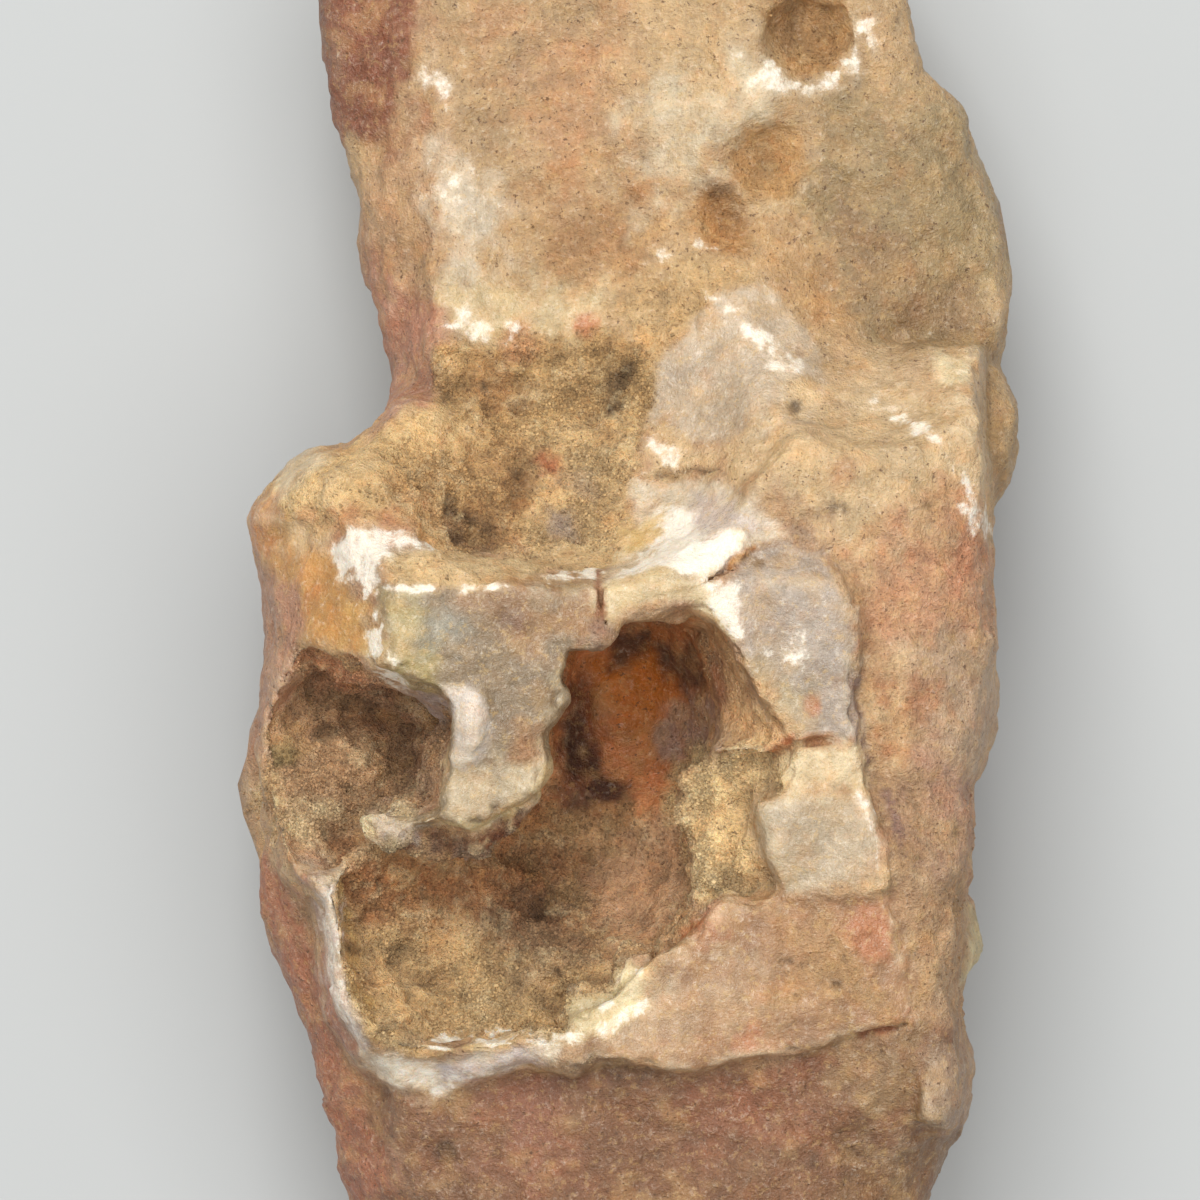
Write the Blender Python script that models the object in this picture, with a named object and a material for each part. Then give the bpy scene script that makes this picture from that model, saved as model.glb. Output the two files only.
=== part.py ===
"""A rough nodule of botswana agate, lying on its back with the broken hollow of its front facing up.

X runs across the stone, Y along it, and Z up from the flat break that it rests on.
Sizes are in millimetres here, and each mesh is brought to metres as it is made.
"""

import bmesh
import bpy
from mathutils import Matrix, Vector

MM = 0.001

# Driving dimensions
FRONT_HEIGHT = 24.0  # mean height of the front, above the base
GREATEST_WIDTH = 34.0  # across the stone's shoulders
SHOULDER_STEPS = 779  # the same width, counted on the sheet

# The front is drawn on a square sheet, 1200 steps a side, as an eye far above it sees the stone
SHEET_CENTRE = 600
EYE_ABOVE_FRONT = 600.0
SHEET_OFFSET = -1.5  # where the sheet's centre lies on X
FRONT_STEP = GREATEST_WIDTH / SHOULDER_STEPS

# How fine the stone is worked
BLOCK_GRAIN = 0.50
HOLLOW_GRAIN = 0.42
GIRDLE_GRAIN = 0.60
KNOB_GRAIN = 0.30
SURFACE_GRAIN = 0.46
FACETS_KEPT = 0.105  # share of the fine facets that the finished stone keeps
BUMP_SIZE = 3.2
BUMP_HEIGHT = 0.45

BED = -2.0  # foot of every block, below the base
CEILING = 30.0  # above every block
BASE_SLAB = (80.0, 120.0, 10.0)

# Outline of the whole stone, at the height where it is widest
GIRDLE_HEIGHT = 11.0
GIRDLE = (
    (318, -60), (316, 0), (333, 110), (352, 212), (357, 250), (376, 300), (393, 378), (386, 412),
    (350, 445), (320, 450), (275, 485), (254, 525), (262, 620), (262, 690), (245, 750), (240, 800),
    (250, 870), (278, 950), (322, 1090), (360, 1230), (410, 1320), (500, 1395), (620, 1415),
    (760, 1400), (870, 1310), (925, 1200), (950, 1150), (972, 1100), (965, 1000), (985, 950),
    (985, 900), (968, 890), (977, 830), (976, 790), (996, 750), (1003, 640), (993, 560),
    (1005, 500), (1022, 440), (1003, 360), (1012, 260), (1003, 200), (962, 125), (918, 75),
    (905, 0), (885, -80), (820, -160), (700, -210), (560, -205), (420, -150),
)
# Height, how far the outline draws in there, and how many times its corners are eased
GIRDLE_ROUNDING = (
    (-2.0, 6.2, 8), (1.0, 4.0, 6), (4.0, 2.0, 4), (8.0, 0.4, 1),
    (GIRDLE_HEIGHT, 0.0, 0), (16.0, 0.2, 0), (22.0, 0.8, 0), (30.0, 2.2, 1),
)
# Old breaks round the back and the ends, each as a point with its height and the way it faces
BREAKS = (
    ((262, 900, 6.0), (-0.80, -0.15, -0.55)),
    ((270, 560, 7.0), (-0.75, 0.05, -0.60)),
    ((360, 120, 4.5), (-0.70, 0.10, -0.70)),
    ((965, 260, 6.0), (0.72, 0.20, -0.65)),
    ((975, 620, 5.0), (0.70, -0.10, -0.70)),
    ((950, 1020, 5.5), (0.66, -0.20, -0.72)),
    ((640, 1395, 9.0), (0.10, -0.80, -0.60)),
    ((800, 1350, 14.0), (0.45, -0.75, 0.48)),
    ((450, 1340, 14.0), (-0.55, -0.65, 0.50)),
    ((620, -190, 8.0), (-0.15, 0.80, -0.55)),
    ((720, -190, 12.5), (0.20, 0.70, 0.65)),
    ((850, -110, 9.0), (0.70, 0.60, 0.20)),
)

# Rounded masses: centre on the sheet and its height, half sizes, squareness
MASSES = (
    ((612, 830, 10.5), (16.6, 24.0, 12.0), 2.4),
    ((660, 1165, 10.0), (14.6, 11.6, 11.2), 2.6),
    ((668, 150, 8.5), (15.0, 16.2, 9.0), 2.5),
    ((400, 780, 10.5), (7.6, 12.5, 9.5), 2.3),
    ((386, 30, 8.0), (3.9, 9.6, 5.5), 2.6),
    ((975, 430, 10.0), (2.2, 3.4, 5.0), 2.0),
    ((968, 920, 8.0), (0.9, 2.6, 4.0), 2.0),
)

# Blocks: outline, the height it is drawn at, how far the walls spread for each mm down, and the
# flat breaks that bound it, each as a point with its height and the way the break faces
UPPER_FACE = (
    ((428, -30), (432, 50), (405, 115), (370, 165), (356, 230), (385, 340), (394, 380), (388, 420),
     (640, 440), (655, 330), (690, 250), (745, 200), (790, 100), (800, -60), (640, -140), (480, -120)),
    10.0, 0.05,
    (((550, 335, 19.4), (0.03, 0.33, 1.0)),
     ((550, 340, 19.9), (0.0, -0.9, 1.0)),
     ((453, 250, 18.9), (-0.92, 0.04, 0.39))),
)
SHOULDER = (
    ((690, 240), (700, 100), (740, -60), (860, -60), (905, 20), (925, 90), (960, 130), (985, 190),
     (1000, 230), (1006, 300), (1000, 350), (830, 362), (760, 285)),
    13.0, 0.3,
    (((850, 330, 17.2), (0.34, 0.10, 1.0)),
     ((760, 60, 16.2), (0.30, 0.02, 1.0))),
)
PALE_FACET = (
    ((690, 246), (722, 262), (760, 285), (800, 325), (830, 362), (872, 400), (880, 520), (640, 520),
     (636, 430), (645, 375), (640, 345), (622, 312)),
    21.0, 0.5,
    (((740, 330, 21.6), (0.10, 0.12, 1.0)),
     ((712, 305, 21.4), (-0.50, 0.55, 0.67))),
)
RIGHT_SIDE = (
    ((832, 372), (870, 350), (918, 345), (972, 352), (980, 420), (990, 520), (1001, 640), (999, 700),
     (985, 770), (974, 800), (975, 870), (962, 960), (966, 1030), (970, 1090), (950, 1145),
     (912, 1128), (908, 1040), (700, 1000), (700, 500)),
    19.0, 0.10,
    (((880, 600, 23.2), (0.14, -0.02, 1.0)),
     ((938, 700, 22.3), (0.50, 0.0, 0.86)),
     ((900, 388, 22.8), (0.05, 0.62, 0.78))),
)
LOWER_BODY = (
    ((345, 1040), (700, 1000), (960, 1010), (972, 1100), (950, 1150), (930, 1195), (900, 1300),
     (700, 1400), (480, 1400), (390, 1290), (352, 1180)),
    16.0, 0.40,
    (((650, 1100, 21.2), (0.05, -0.20, 1.0)),
     ((900, 1138, 20.6), (0.25, -0.50, 0.83))),
)
FRONT = (
    ((255, 512), (275, 482), (300, 462), (322, 450), (345, 448), (385, 430), (440, 416), (560, 430),
     (640, 445), (700, 470), (800, 505), (845, 560), (868, 640), (858, 700), (870, 780), (905, 960),
     (918, 1028), (850, 1035), (790, 1058), (690, 1073), (600, 1061), (570, 1076), (520, 1070),
     (440, 1098), (400, 1086), (362, 1052), (328, 960), (330, 900), (300, 865), (268, 760),
     (272, 690), (290, 640), (262, 570)),
    23.0, 0.20,
    (((500, 600, 26.2), (0.10, -0.085, 1.0)),
     ((480, 588, 26.4), (0.06, 0.70, 0.70)),
     ((388, 610, 26.4), (-0.76, 0.08, 0.62))),
)
ROOF_RIDGE = (
    ((262, 512), (278, 486), (300, 466), (322, 454), (345, 450), (385, 432), (440, 418), (470, 430),
     (455, 462), (420, 488), (380, 505), (330, 520)),
    22.0, 0.30,
    (((370, 470, 23.2), (0.0, 0.15, 1.0)),
     ((300, 480, 21.8), (-0.76, 0.08, 0.62))),
)
CHALK_BLOCK = (
    ((640, 480), (712, 478), (735, 500), (752, 545), (742, 575), (700, 590), (640, 598), (600, 592),
     (612, 562), (636, 540)),
    24.0, 0.20,
    (((690, 530, 24.5), (0.06, 0.42, 1.0)),),
)
WHITE_FACET = (
    ((757, 803), (800, 792), (868, 795), (884, 840), (886, 890), (850, 897), (783, 897), (765, 860)),
    23.5, 0.15,
    (((820, 850, 24.5), (0.10, -0.05, 1.0)),),
)
BLOCKS = (
    UPPER_FACE, SHOULDER, PALE_FACET, RIGHT_SIDE, LOWER_BODY, FRONT, ROOF_RIDGE, CHALK_BLOCK, WHITE_FACET,
)

# Hollows with steep walls: outline at the front, how far the walls draw in for each mm down, and
# the floor, as a point with its height and the way the floor faces
LEFT_PIT = (
    ((308, 646), (332, 660), (360, 680), (425, 703), (447, 722), (434, 760), (428, 800), (388, 812),
     (370, 838), (330, 868), (296, 862), (262, 800), (250, 740), (276, 690)),
    0.22, ((340, 740, 18.0), (0.55, 0.42, 1.0)),
)
MAIN_HOLLOW = (
    ((338, 880), (352, 850), (372, 842), (430, 857), (482, 860), (505, 840), (528, 805), (552, 765),
     (551, 735), (571, 700), (563, 680), (569, 656), (600, 652), (625, 622), (660, 612), (700, 617),
     (715, 660), (712, 700), (690, 745), (672, 775), (688, 815), (690, 850), (722, 890), (690, 935),
     (652, 955), (610, 1000), (550, 1035), (450, 1045), (380, 1030), (352, 990), (342, 940)),
    0.15, ((500, 800, 21.8), (0.0, 0.0, 1.0)),
)
RIGHT_SLOPE = (
    ((640, 640), (686, 610), (716, 625), (745, 680), (768, 715), (792, 742), (705, 752), (650, 760)),
    0.05, ((792, 735, 24.4), (-0.80, 0.10, 0.60)),
)
TERRACE = (
    ((700, 748), (792, 745), (775, 790), (756, 802), (764, 860), (783, 897), (722, 892), (690, 850),
     (680, 800), (670, 775)),
    0.20, ((725, 810, 21.4), (-0.70, 0.10, 1.0)),
)
SHELF_LAYER = (
    ((356, 842), (375, 812), (400, 829), (440, 825), (470, 832), (500, 811), (545, 790), (530, 812),
     (508, 848), (482, 868), (430, 865), (372, 852)),
    0.10, ((450, 840, 23.9), (-0.08, 0.06, 1.0)),
)
PITS = (LEFT_PIT, MAIN_HOLLOW, RIGHT_SLOPE, TERRACE, SHELF_LAYER)
RIM_HEIGHT = 24.0

# Bowls below the thin shelf that hangs over the hollow, and the shelf's underside
BOWLS = (
    ((624, 715, 19.0), (3.9, 5.6, 6.4), 2.0),
    ((500, 930, 24.0), (8.0, 5.6, 5.8), 2.0),
    ((590, 830, 20.0), (5.4, 5.4, 5.8), 2.0),
)
SHELF_UNDERSIDE = ((480, 740, 23.2), (-0.05, -0.02, 1.0))

# Dents of the front, and shallow scoops in the flanks: centre, half sizes, squareness
DENTS = (
    ((384, 715, 18.2), (2.8, 2.0, 2.6), 2.0),
    ((548, 392, 21.6), (5.0, 2.2, 4.6), 2.0),
    ((727, 222, 18.6), (1.6, 1.7, 2.8), 2.0),
    ((770, 150, 18.2), (1.9, 1.7, 3.0), 2.0),
    ((805, 28, 17.2), (1.9, 1.9, 2.2), 2.0),
    ((568, 118, 24.4), (13.0, 20.0, 9.1), 2.0),
    ((486, 505, 25.2), (3.4, 2.3, 4.8), 2.0),
    ((880, 175, 24.0), (10.0, 12.0, 8.7), 2.0),
    ((232, 800, 13.5), (2.2, 6.5, 4.0), 2.0),
    ((1010, 860, 14.0), (1.6, 4.5, 6.0), 2.0),
    ((650, 1440, 11.0), (8.0, 3.0, 5.0), 2.0),
    ((1050, 520, 5.0), (5.5, 7.5, 5.5), 2.0),
    ((1035, 900, 6.0), (4.8, 6.0, 4.8), 2.0),
    ((205, 930, 5.5), (6.0, 7.0, 5.0), 2.0),
    ((205, 600, 5.5), (5.6, 5.0, 5.0), 2.0),
    ((262, 150, 3.5), (4.2, 6.0, 3.5), 2.0),
)

# What stands proud of the front: the curved vein, the ledge and lumps of the terrace
KNOBS = (
    ((466, 730, 25.6), (0.9, 1.7, 1.0), 2.0),
    ((600, 1000, 21.0), (1.6, 0.9, 1.7), 2.6),
    ((632, 968, 21.2), (0.9, 1.1, 1.8), 2.6),
    ((702, 795, 20.2), (1.3, 1.4, 1.8), 2.4),
    ((714, 850, 20.4), (1.2, 1.2, 1.8), 2.4),
)


def step_at(height):
    """Width of one step of the sheet, at a height above the base."""
    return FRONT_STEP * (FRONT_HEIGHT + EYE_ABOVE_FRONT - height) / EYE_ABOVE_FRONT


def on_sheet(point):
    """Where a point of the sheet lies, from its steps across, its steps down and its height."""
    across, down, height = point
    step = step_at(height)
    return Vector(((across - SHEET_CENTRE) * step + SHEET_OFFSET, (SHEET_CENTRE - down) * step, height))


def ring_of(outline, height):
    ring = [on_sheet((across, down, height)) for across, down in outline]
    area = sum(a.x * b.y - b.x * a.y for a, b in zip(ring, ring[1:] + ring[:1]))
    return ring if area > 0 else ring[::-1]


def moved_out(ring, distance, height):
    """The ring at another height, each point moved out along the mean of its two sides' normals."""
    moved = []
    for before, here, after in zip(ring[-1:] + ring[:-1], ring, ring[1:] + ring[:1]):
        first = (here - before).to_2d().normalized()
        second = (after - here).to_2d().normalized()
        outward = Vector((first.y + second.y, -first.x - second.x)).normalized()
        point = here.to_2d() + outward * distance
        moved.append(Vector((point.x, point.y, height)))
    return moved


def eased(ring, times):
    """The ring with its corners eased, each point drawn towards the middle of its neighbours."""
    for _ in range(times):
        ring = [(a + 2 * b + c) / 4 for a, b, c in zip(ring[-1:] + ring[:-1], ring, ring[1:] + ring[:1])]
    return ring


def loft(rings):
    """A closed shape through rings of equally many points, lowest ring first."""
    shape = bmesh.new()
    levels = [[shape.verts.new(point) for point in ring] for ring in rings]
    count = len(levels[0])
    for low, high in zip(levels, levels[1:]):
        for i in range(count):
            j = (i + 1) % count
            shape.faces.new((low[i], low[j], high[j], high[i]))
    shape.faces.new(levels[0][::-1])
    shape.faces.new(levels[-1])
    bmesh.ops.triangulate(shape, faces=shape.faces[:])
    return shape


def saw(shape, point, facing):
    """Cuts away what lies on the side that a break faces, and closes the cut."""
    everything = shape.verts[:] + shape.edges[:] + shape.faces[:]
    cut = bmesh.ops.bisect_plane(
        shape, geom=everything, clear_outer=True,
        plane_co=on_sheet(point), plane_no=Vector(facing).normalized(),
    )
    edges = [part for part in cut["geom_cut"] if isinstance(part, bmesh.types.BMEdge)]
    bmesh.ops.edgenet_fill(shape, edges=edges)
    bmesh.ops.triangulate(shape, faces=shape.faces[:])


def block(outline, height, spread, breaks):
    ring = ring_of(outline, height)
    low = moved_out(ring, spread * (height - BED), BED)
    high = moved_out(ring, -spread * (CEILING - height), CEILING)
    shape = loft([low, ring, high])
    for point, facing in breaks:
        saw(shape, point, facing)
    return shape


def pit(outline, taper, floor):
    """A hollow's cutter: it widens upwards from a tilted floor and ends above the stone."""
    ring = ring_of(outline, RIM_HEIGHT)
    low = moved_out(ring, -taper * (RIM_HEIGHT - BED) / 3, BED)
    high = moved_out(ring, taper * (CEILING - RIM_HEIGHT), CEILING)
    shape = loft([low, ring, high])
    point, facing = floor
    saw(shape, point, [-part for part in facing])
    return shape


def mass(centre, radii, squareness):
    """A rounded lump: a sphere whose points are moved out towards a box, then stretched."""
    shape = bmesh.new()
    bmesh.ops.create_icosphere(shape, subdivisions=4, radius=1.0)
    for vertex in shape.verts:
        size = sum(abs(part) ** squareness for part in vertex.co) ** (1 / squareness)
        vertex.co /= size
    bmesh.ops.scale(shape, vec=radii, verts=shape.verts)
    bmesh.ops.translate(shape, vec=on_sheet(centre), verts=shape.verts)
    return shape


def object_of(name, shapes):
    """One object from several overlapping closed shapes, brought to metres."""
    gathered = bmesh.new()
    for shape in shapes:
        bmesh.ops.recalc_face_normals(shape, faces=shape.faces)
        loose = bpy.data.meshes.new(name)
        shape.to_mesh(loose)
        gathered.from_mesh(loose)
        shape.free()
        bpy.data.meshes.remove(loose)
    mesh = bpy.data.meshes.new(name)
    gathered.to_mesh(mesh)
    gathered.free()
    mesh.transform(Matrix.Scale(MM, 4))
    made = bpy.data.objects.new(name, mesh)
    bpy.context.scene.collection.objects.link(made)
    return made


def as_cutter(made):
    made.hide_render = True
    made.display_type = "WIRE"
    return made


def remesh(made, name, grain):
    modifier = made.modifiers.new(name, "REMESH")
    modifier.mode = "VOXEL"
    modifier.voxel_size = grain * MM


def cut_with(made, name, operation, cutter):
    modifier = made.modifiers.new(name, "BOOLEAN")
    modifier.operation = operation
    modifier.solver = "EXACT"
    modifier.object = cutter


def girdle():
    """The stone's outline as a rounded slab with broken edges, which trims every block."""
    ring = ring_of(GIRDLE, GIRDLE_HEIGHT)
    slab = loft([moved_out(eased(ring, times), -inset, height) for height, inset, times in GIRDLE_ROUNDING])
    for point, facing in BREAKS:
        saw(slab, point, facing)
    return object_of("girdle", [slab])


def under_shelf():
    """The bowls, joined, with all that would reach up through the shelf sawn away."""
    bowls = []
    for centre, radii, squareness in BOWLS:
        bowl = mass(centre, radii, squareness)
        saw(bowl, *SHELF_UNDERSIDE)
        bowls.append(bowl)
    return bowls


def base_slab():
    across, along, deep = BASE_SLAB
    slab = bmesh.new()
    bmesh.ops.create_cube(slab, size=1.0)
    bmesh.ops.scale(slab, vec=(across, along, deep), verts=slab.verts)
    bmesh.ops.translate(slab, vec=(0.0, 0.0, -deep / 2), verts=slab.verts)
    return object_of("base_slab", [slab])


def chalcedony():
    """Pale pinkish brown chalcedony with a dull, slightly waxy surface."""
    material = bpy.data.materials.new("chalcedony")
    material.use_nodes = True
    shader = material.node_tree.nodes["Principled BSDF"]
    shader.inputs["Base Color"].default_value = (0.46, 0.29, 0.17, 1.0)
    shader.inputs["Roughness"].default_value = 0.6
    shader.inputs["Metallic"].default_value = 0.0
    return material


def agate():
    stone = object_of("agate", [mass(*m) for m in MASSES] + [block(*b) for b in BLOCKS])
    outline = as_cutter(girdle())
    remesh(outline, "one slab", GIRDLE_GRAIN)
    dents = [mass(*d) for d in DENTS]
    hollows = as_cutter(object_of("hollows", [pit(*p) for p in PITS] + under_shelf() + dents))
    remesh(hollows, "one hollow", HOLLOW_GRAIN)
    knobs = as_cutter(object_of("knobs", [mass(*k) for k in KNOBS]))
    remesh(knobs, "one lump each", KNOB_GRAIN)
    slab = as_cutter(base_slab())

    remesh(stone, "one mass", BLOCK_GRAIN)
    cut_with(stone, "outline", "INTERSECT", outline)
    cut_with(stone, "hollows", "DIFFERENCE", hollows)
    cut_with(stone, "knobs", "UNION", knobs)
    remesh(stone, "worn edges", SURFACE_GRAIN)

    bumps = bpy.data.textures.new("bumps", "CLOUDS")
    bumps.noise_scale = BUMP_SIZE * MM
    bumps.noise_depth = 2
    roughen = stone.modifiers.new("bumps", "DISPLACE")
    roughen.texture = bumps
    roughen.texture_coords = "LOCAL"
    roughen.mid_level = 0.5
    roughen.strength = BUMP_HEIGHT * MM

    thin = stone.modifiers.new("facets", "DECIMATE")
    thin.ratio = FACETS_KEPT
    cut_with(stone, "base", "DIFFERENCE", slab)
    stone.data.materials.append(chalcedony())
    return stone


def main():
    for existing in list(bpy.data.objects):
        bpy.data.objects.remove(existing)
    agate()


main()
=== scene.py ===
"""The looks of a rough botswana agate nodule, which lies on its back with its broken front facing up.

The stone is worked in millimetres, with X across it, Y along it and Z up from the flat break it rests
on, and each mesh is brought to metres as it is made.
"""

import math

import bmesh
import bpy
import numpy as np
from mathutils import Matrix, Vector


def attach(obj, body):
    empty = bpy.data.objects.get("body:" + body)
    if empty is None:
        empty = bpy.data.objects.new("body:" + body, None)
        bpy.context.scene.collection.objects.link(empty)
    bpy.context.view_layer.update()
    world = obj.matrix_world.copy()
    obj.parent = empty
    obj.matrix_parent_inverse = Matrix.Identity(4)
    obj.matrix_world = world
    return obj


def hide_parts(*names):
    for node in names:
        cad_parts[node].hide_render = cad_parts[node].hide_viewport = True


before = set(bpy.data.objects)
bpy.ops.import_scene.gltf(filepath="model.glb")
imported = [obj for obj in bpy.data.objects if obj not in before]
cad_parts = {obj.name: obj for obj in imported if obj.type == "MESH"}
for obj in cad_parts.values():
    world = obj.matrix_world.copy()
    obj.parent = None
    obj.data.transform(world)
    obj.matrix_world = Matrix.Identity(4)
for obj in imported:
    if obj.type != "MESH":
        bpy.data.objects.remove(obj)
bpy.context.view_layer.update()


# The view
# The camera looks straight down on the front of the stone through a long lens. The stone runs out of
# the frame at both ends. The front's features are placed on a square sheet, as this camera sees them.

MM = 0.001
SHEET_SIDE = 1200
FRONT_HEIGHT = 24.0
EYE_ABOVE_FRONT = 600.0
GREATEST_WIDTH = 34.0
SHOULDER_STEPS = 779
SHEET_OFFSET = -1.5
FRONT_STEP = GREATEST_WIDTH / SHOULDER_STEPS
SENSOR = 36.0


def step_at(height):
    """Width of one step of the sheet, in millimetres, at a height above the base."""
    return FRONT_STEP * (FRONT_HEIGHT + EYE_ABOVE_FRONT - height) / EYE_ABOVE_FRONT


def on_sheet(across, down, height):
    """Where a point of the sheet lies, from its steps across and down and its height."""
    step = step_at(height)
    x = (across - SHEET_SIDE / 2) * step + SHEET_OFFSET
    y = (SHEET_SIDE / 2 - down) * step
    return np.array((x, y, height))


camera_data = bpy.data.cameras.new("camera")
camera_data.sensor_width = SENSOR
camera_data.lens = SENSOR * EYE_ABOVE_FRONT / (SHEET_SIDE * FRONT_STEP)
camera_data.clip_start = 0.01
camera_data.clip_end = 10.0
camera = bpy.data.objects.new("camera", camera_data)
camera.location = (SHEET_OFFSET * MM, 0.0, (FRONT_HEIGHT + EYE_ABOVE_FRONT) * MM)
bpy.context.scene.collection.objects.link(camera)
bpy.context.scene.camera = camera


# The stone
# One nodule of banded chalcedony, grown in a cavity of lava and broken since. Its front is a stack of
# flat-faced blocks, broken open by a hollow with a thin shelf over it. Each form is a field of distances,
# negative inside it, and the surface runs where the joined fields are zero.

FINE_GRID = 0.24
COARSE_GRID = 0.55
LOW_PART = 11.5
SEEN_HALF_LENGTH = 26.5
BLOCK_FOOT = 3.0
MARGIN = 1.6
HALF_WIDTH_ROOM = 19.0
HALF_LENGTH_ROOM = 38.0
BELOW_BASE = -1.5
ABOVE_TOP = 28.5
WAVE_SWING = 2.2


def grid_axis(low, high, fine_from, fine_to):
    steps = [low]
    while steps[-1] < high:
        fine = fine_from <= steps[-1] < fine_to
        steps.append(steps[-1] + (FINE_GRID if fine else COARSE_GRID))
    return np.array(steps, np.float32)


AXES = (
    grid_axis(-HALF_WIDTH_ROOM, HALF_WIDTH_ROOM, -HALF_WIDTH_ROOM, HALF_WIDTH_ROOM),
    grid_axis(-HALF_LENGTH_ROOM, HALF_LENGTH_ROOM, -SEEN_HALF_LENGTH, SEEN_HALF_LENGTH),
    grid_axis(BELOW_BASE, ABOVE_TOP, LOW_PART, ABOVE_TOP),
)


def waves(axes, size, seed):
    """A smooth random value at each point of a grid, from about -1 to 1, in waves of about one size."""
    rows = []
    for axis in axes:
        place = axis / size
        whole = np.floor(place).astype(int)
        part = place - whole
        whole -= whole.min()
        row = np.zeros((len(axis), whole.max() + 4), np.float32)
        bells = (
            (1 - part) ** 3,
            3 * part ** 3 - 6 * part ** 2 + 4,
            -3 * part ** 3 + 3 * part ** 2 + 3 * part + 1,
            part ** 3,
        )
        for step, bell in enumerate(bells):
            row[np.arange(len(axis)), whole + step] = bell / 6
        rows.append(row)
    values = np.random.default_rng(seed).uniform(-WAVE_SWING, WAVE_SWING, [row.shape[1] for row in rows])
    values = values.astype(np.float32)
    for row in rows:
        values = np.tensordot(values, row, axes=(0, 1))
    return values


GRID = [axis.reshape([-1 if n == side else 1 for side in range(3)]) for n, axis in enumerate(AXES)]
# The grid is bent a little, so that no flat or edge runs dead straight
BROAD_BEND, BROAD_SIZE = 0.24, 4.0
FINE_BEND, FINE_SIZE = 0.12, 1.3
X, Y, Z = (
    GRID[n] + BROAD_BEND * waves(AXES, BROAD_SIZE, n) + FINE_BEND * waves(AXES, FINE_SIZE, n + 10)
    for n in range(3)
)
SHEET_X = X[:, :, len(AXES[2]) // 2]
SHEET_Y = Y[:, :, len(AXES[2]) // 2]


def around(low, high):
    """The part of the grid between two corners, with a margin round them."""
    slices = []
    for axis, a, b in zip(AXES, low, high):
        first = max(int(np.searchsorted(axis, a - MARGIN)) - 1, 0)
        slices.append(slice(first, int(np.searchsorted(axis, b + MARGIN)) + 1))
    return tuple(slices)


def joined(a, b, ease):
    """Two forms as one, with the corner between them filled over a width."""
    share = np.clip(0.5 + 0.5 * (b - a) / ease, 0.0, 1.0)
    return b + (a - b) * share - ease * share * (1.0 - share)


def shared(a, b, ease):
    """What two forms have in common, with the edge between them worn over a width."""
    return -joined(-a, -b, ease)


def outline_distance(x, y, outline, closed=True):
    """Distance from each point to an outline, negative inside it where it is closed."""
    nearest = np.full(x.shape, 1e9, np.float32)
    inside = np.zeros(x.shape, bool)
    for (ax, ay), (bx, by) in zip(outline, outline[1:] + outline[:closed]):
        ex, ey = bx - ax, by - ay
        along = np.clip(((x - ax) * ex + (y - ay) * ey) / (ex * ex + ey * ey + 1e-9), 0.0, 1.0)
        nearest = np.minimum(nearest, (x - ax - ex * along) ** 2 + (y - ay - ey * along) ** 2)
        if closed and ay != by:
            inside ^= ((ay <= y) != (by <= y)) & (x < ax + (y - ay) * ex / ey)
    distance = np.sqrt(nearest)
    return np.where(inside, -distance, distance)


def ring_at(outline, height):
    return [tuple(on_sheet(across, down, height)[:2]) for across, down in outline]


def mass(where, centre, radii, squareness=2.0):
    """A rounded lump; a squareness above 2 swells it towards a box."""
    parts = [np.abs(axis[where] - middle) / size for axis, middle, size in zip((X, Y, Z), centre, radii)]
    size = sum(part ** squareness for part in parts) ** (1.0 / squareness)
    slope = np.sqrt(sum((part ** (squareness - 1.0) / r) ** 2 for part, r in zip(parts, radii)))
    return (size - 1.0) * np.maximum(size, 1e-3) ** (squareness - 1.0) / np.maximum(slope, 1e-4)


def mass_place(lump):
    centre = on_sheet(*lump[0])
    radii = np.array(lump[1])
    return around(centre - radii, centre + radii), (centre, *lump[1:])


def flat_break(where, point, facing):
    """The half of space behind a flat break through a point."""
    x, y, z = on_sheet(*point)
    nx, ny, nz = np.array(facing) / np.linalg.norm(facing)
    return (X[where] - x) * nx + (Y[where] - y) * ny + (Z[where] - z) * nz


def wall(where, outline, height, spread):
    """Everything within an outline drawn at a height, its sides spreading below it."""
    aside = outline_distance(SHEET_X[where[:2]], SHEET_Y[where[:2]], ring_at(outline, height))
    return (aside[:, :, None] - spread * (height - Z[where])) / math.hypot(1.0, spread)


def wall_place(outline, height, spread, foot):
    ring = np.array(ring_at(outline, height))
    reach = max(spread, 0.0) * (height - foot)
    low = np.append(ring.min(0) - reach, foot)
    return around(low, np.append(ring.max(0) + reach, AXES[2][-1]))


# Rounded masses: centre on the sheet and its height, half sizes, squareness
MASSES = (
    ((612, 830, 10.5), (16.6, 24.0, 12.0), 2.4),
    ((660, 1165, 10.0), (14.6, 11.6, 11.2), 2.6),
    ((668, 150, 8.5), (15.0, 16.2, 9.0), 2.5),
    ((400, 780, 10.5), (7.6, 12.5, 9.5), 2.3),
    ((386, 30, 8.0), (3.9, 9.6, 5.5), 2.6),
    ((980, 430, 10.0), (2.6, 3.6, 5.2), 2.2),
    ((968, 920, 8.0), (0.9, 2.6, 4.0), 2.0),
)
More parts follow.
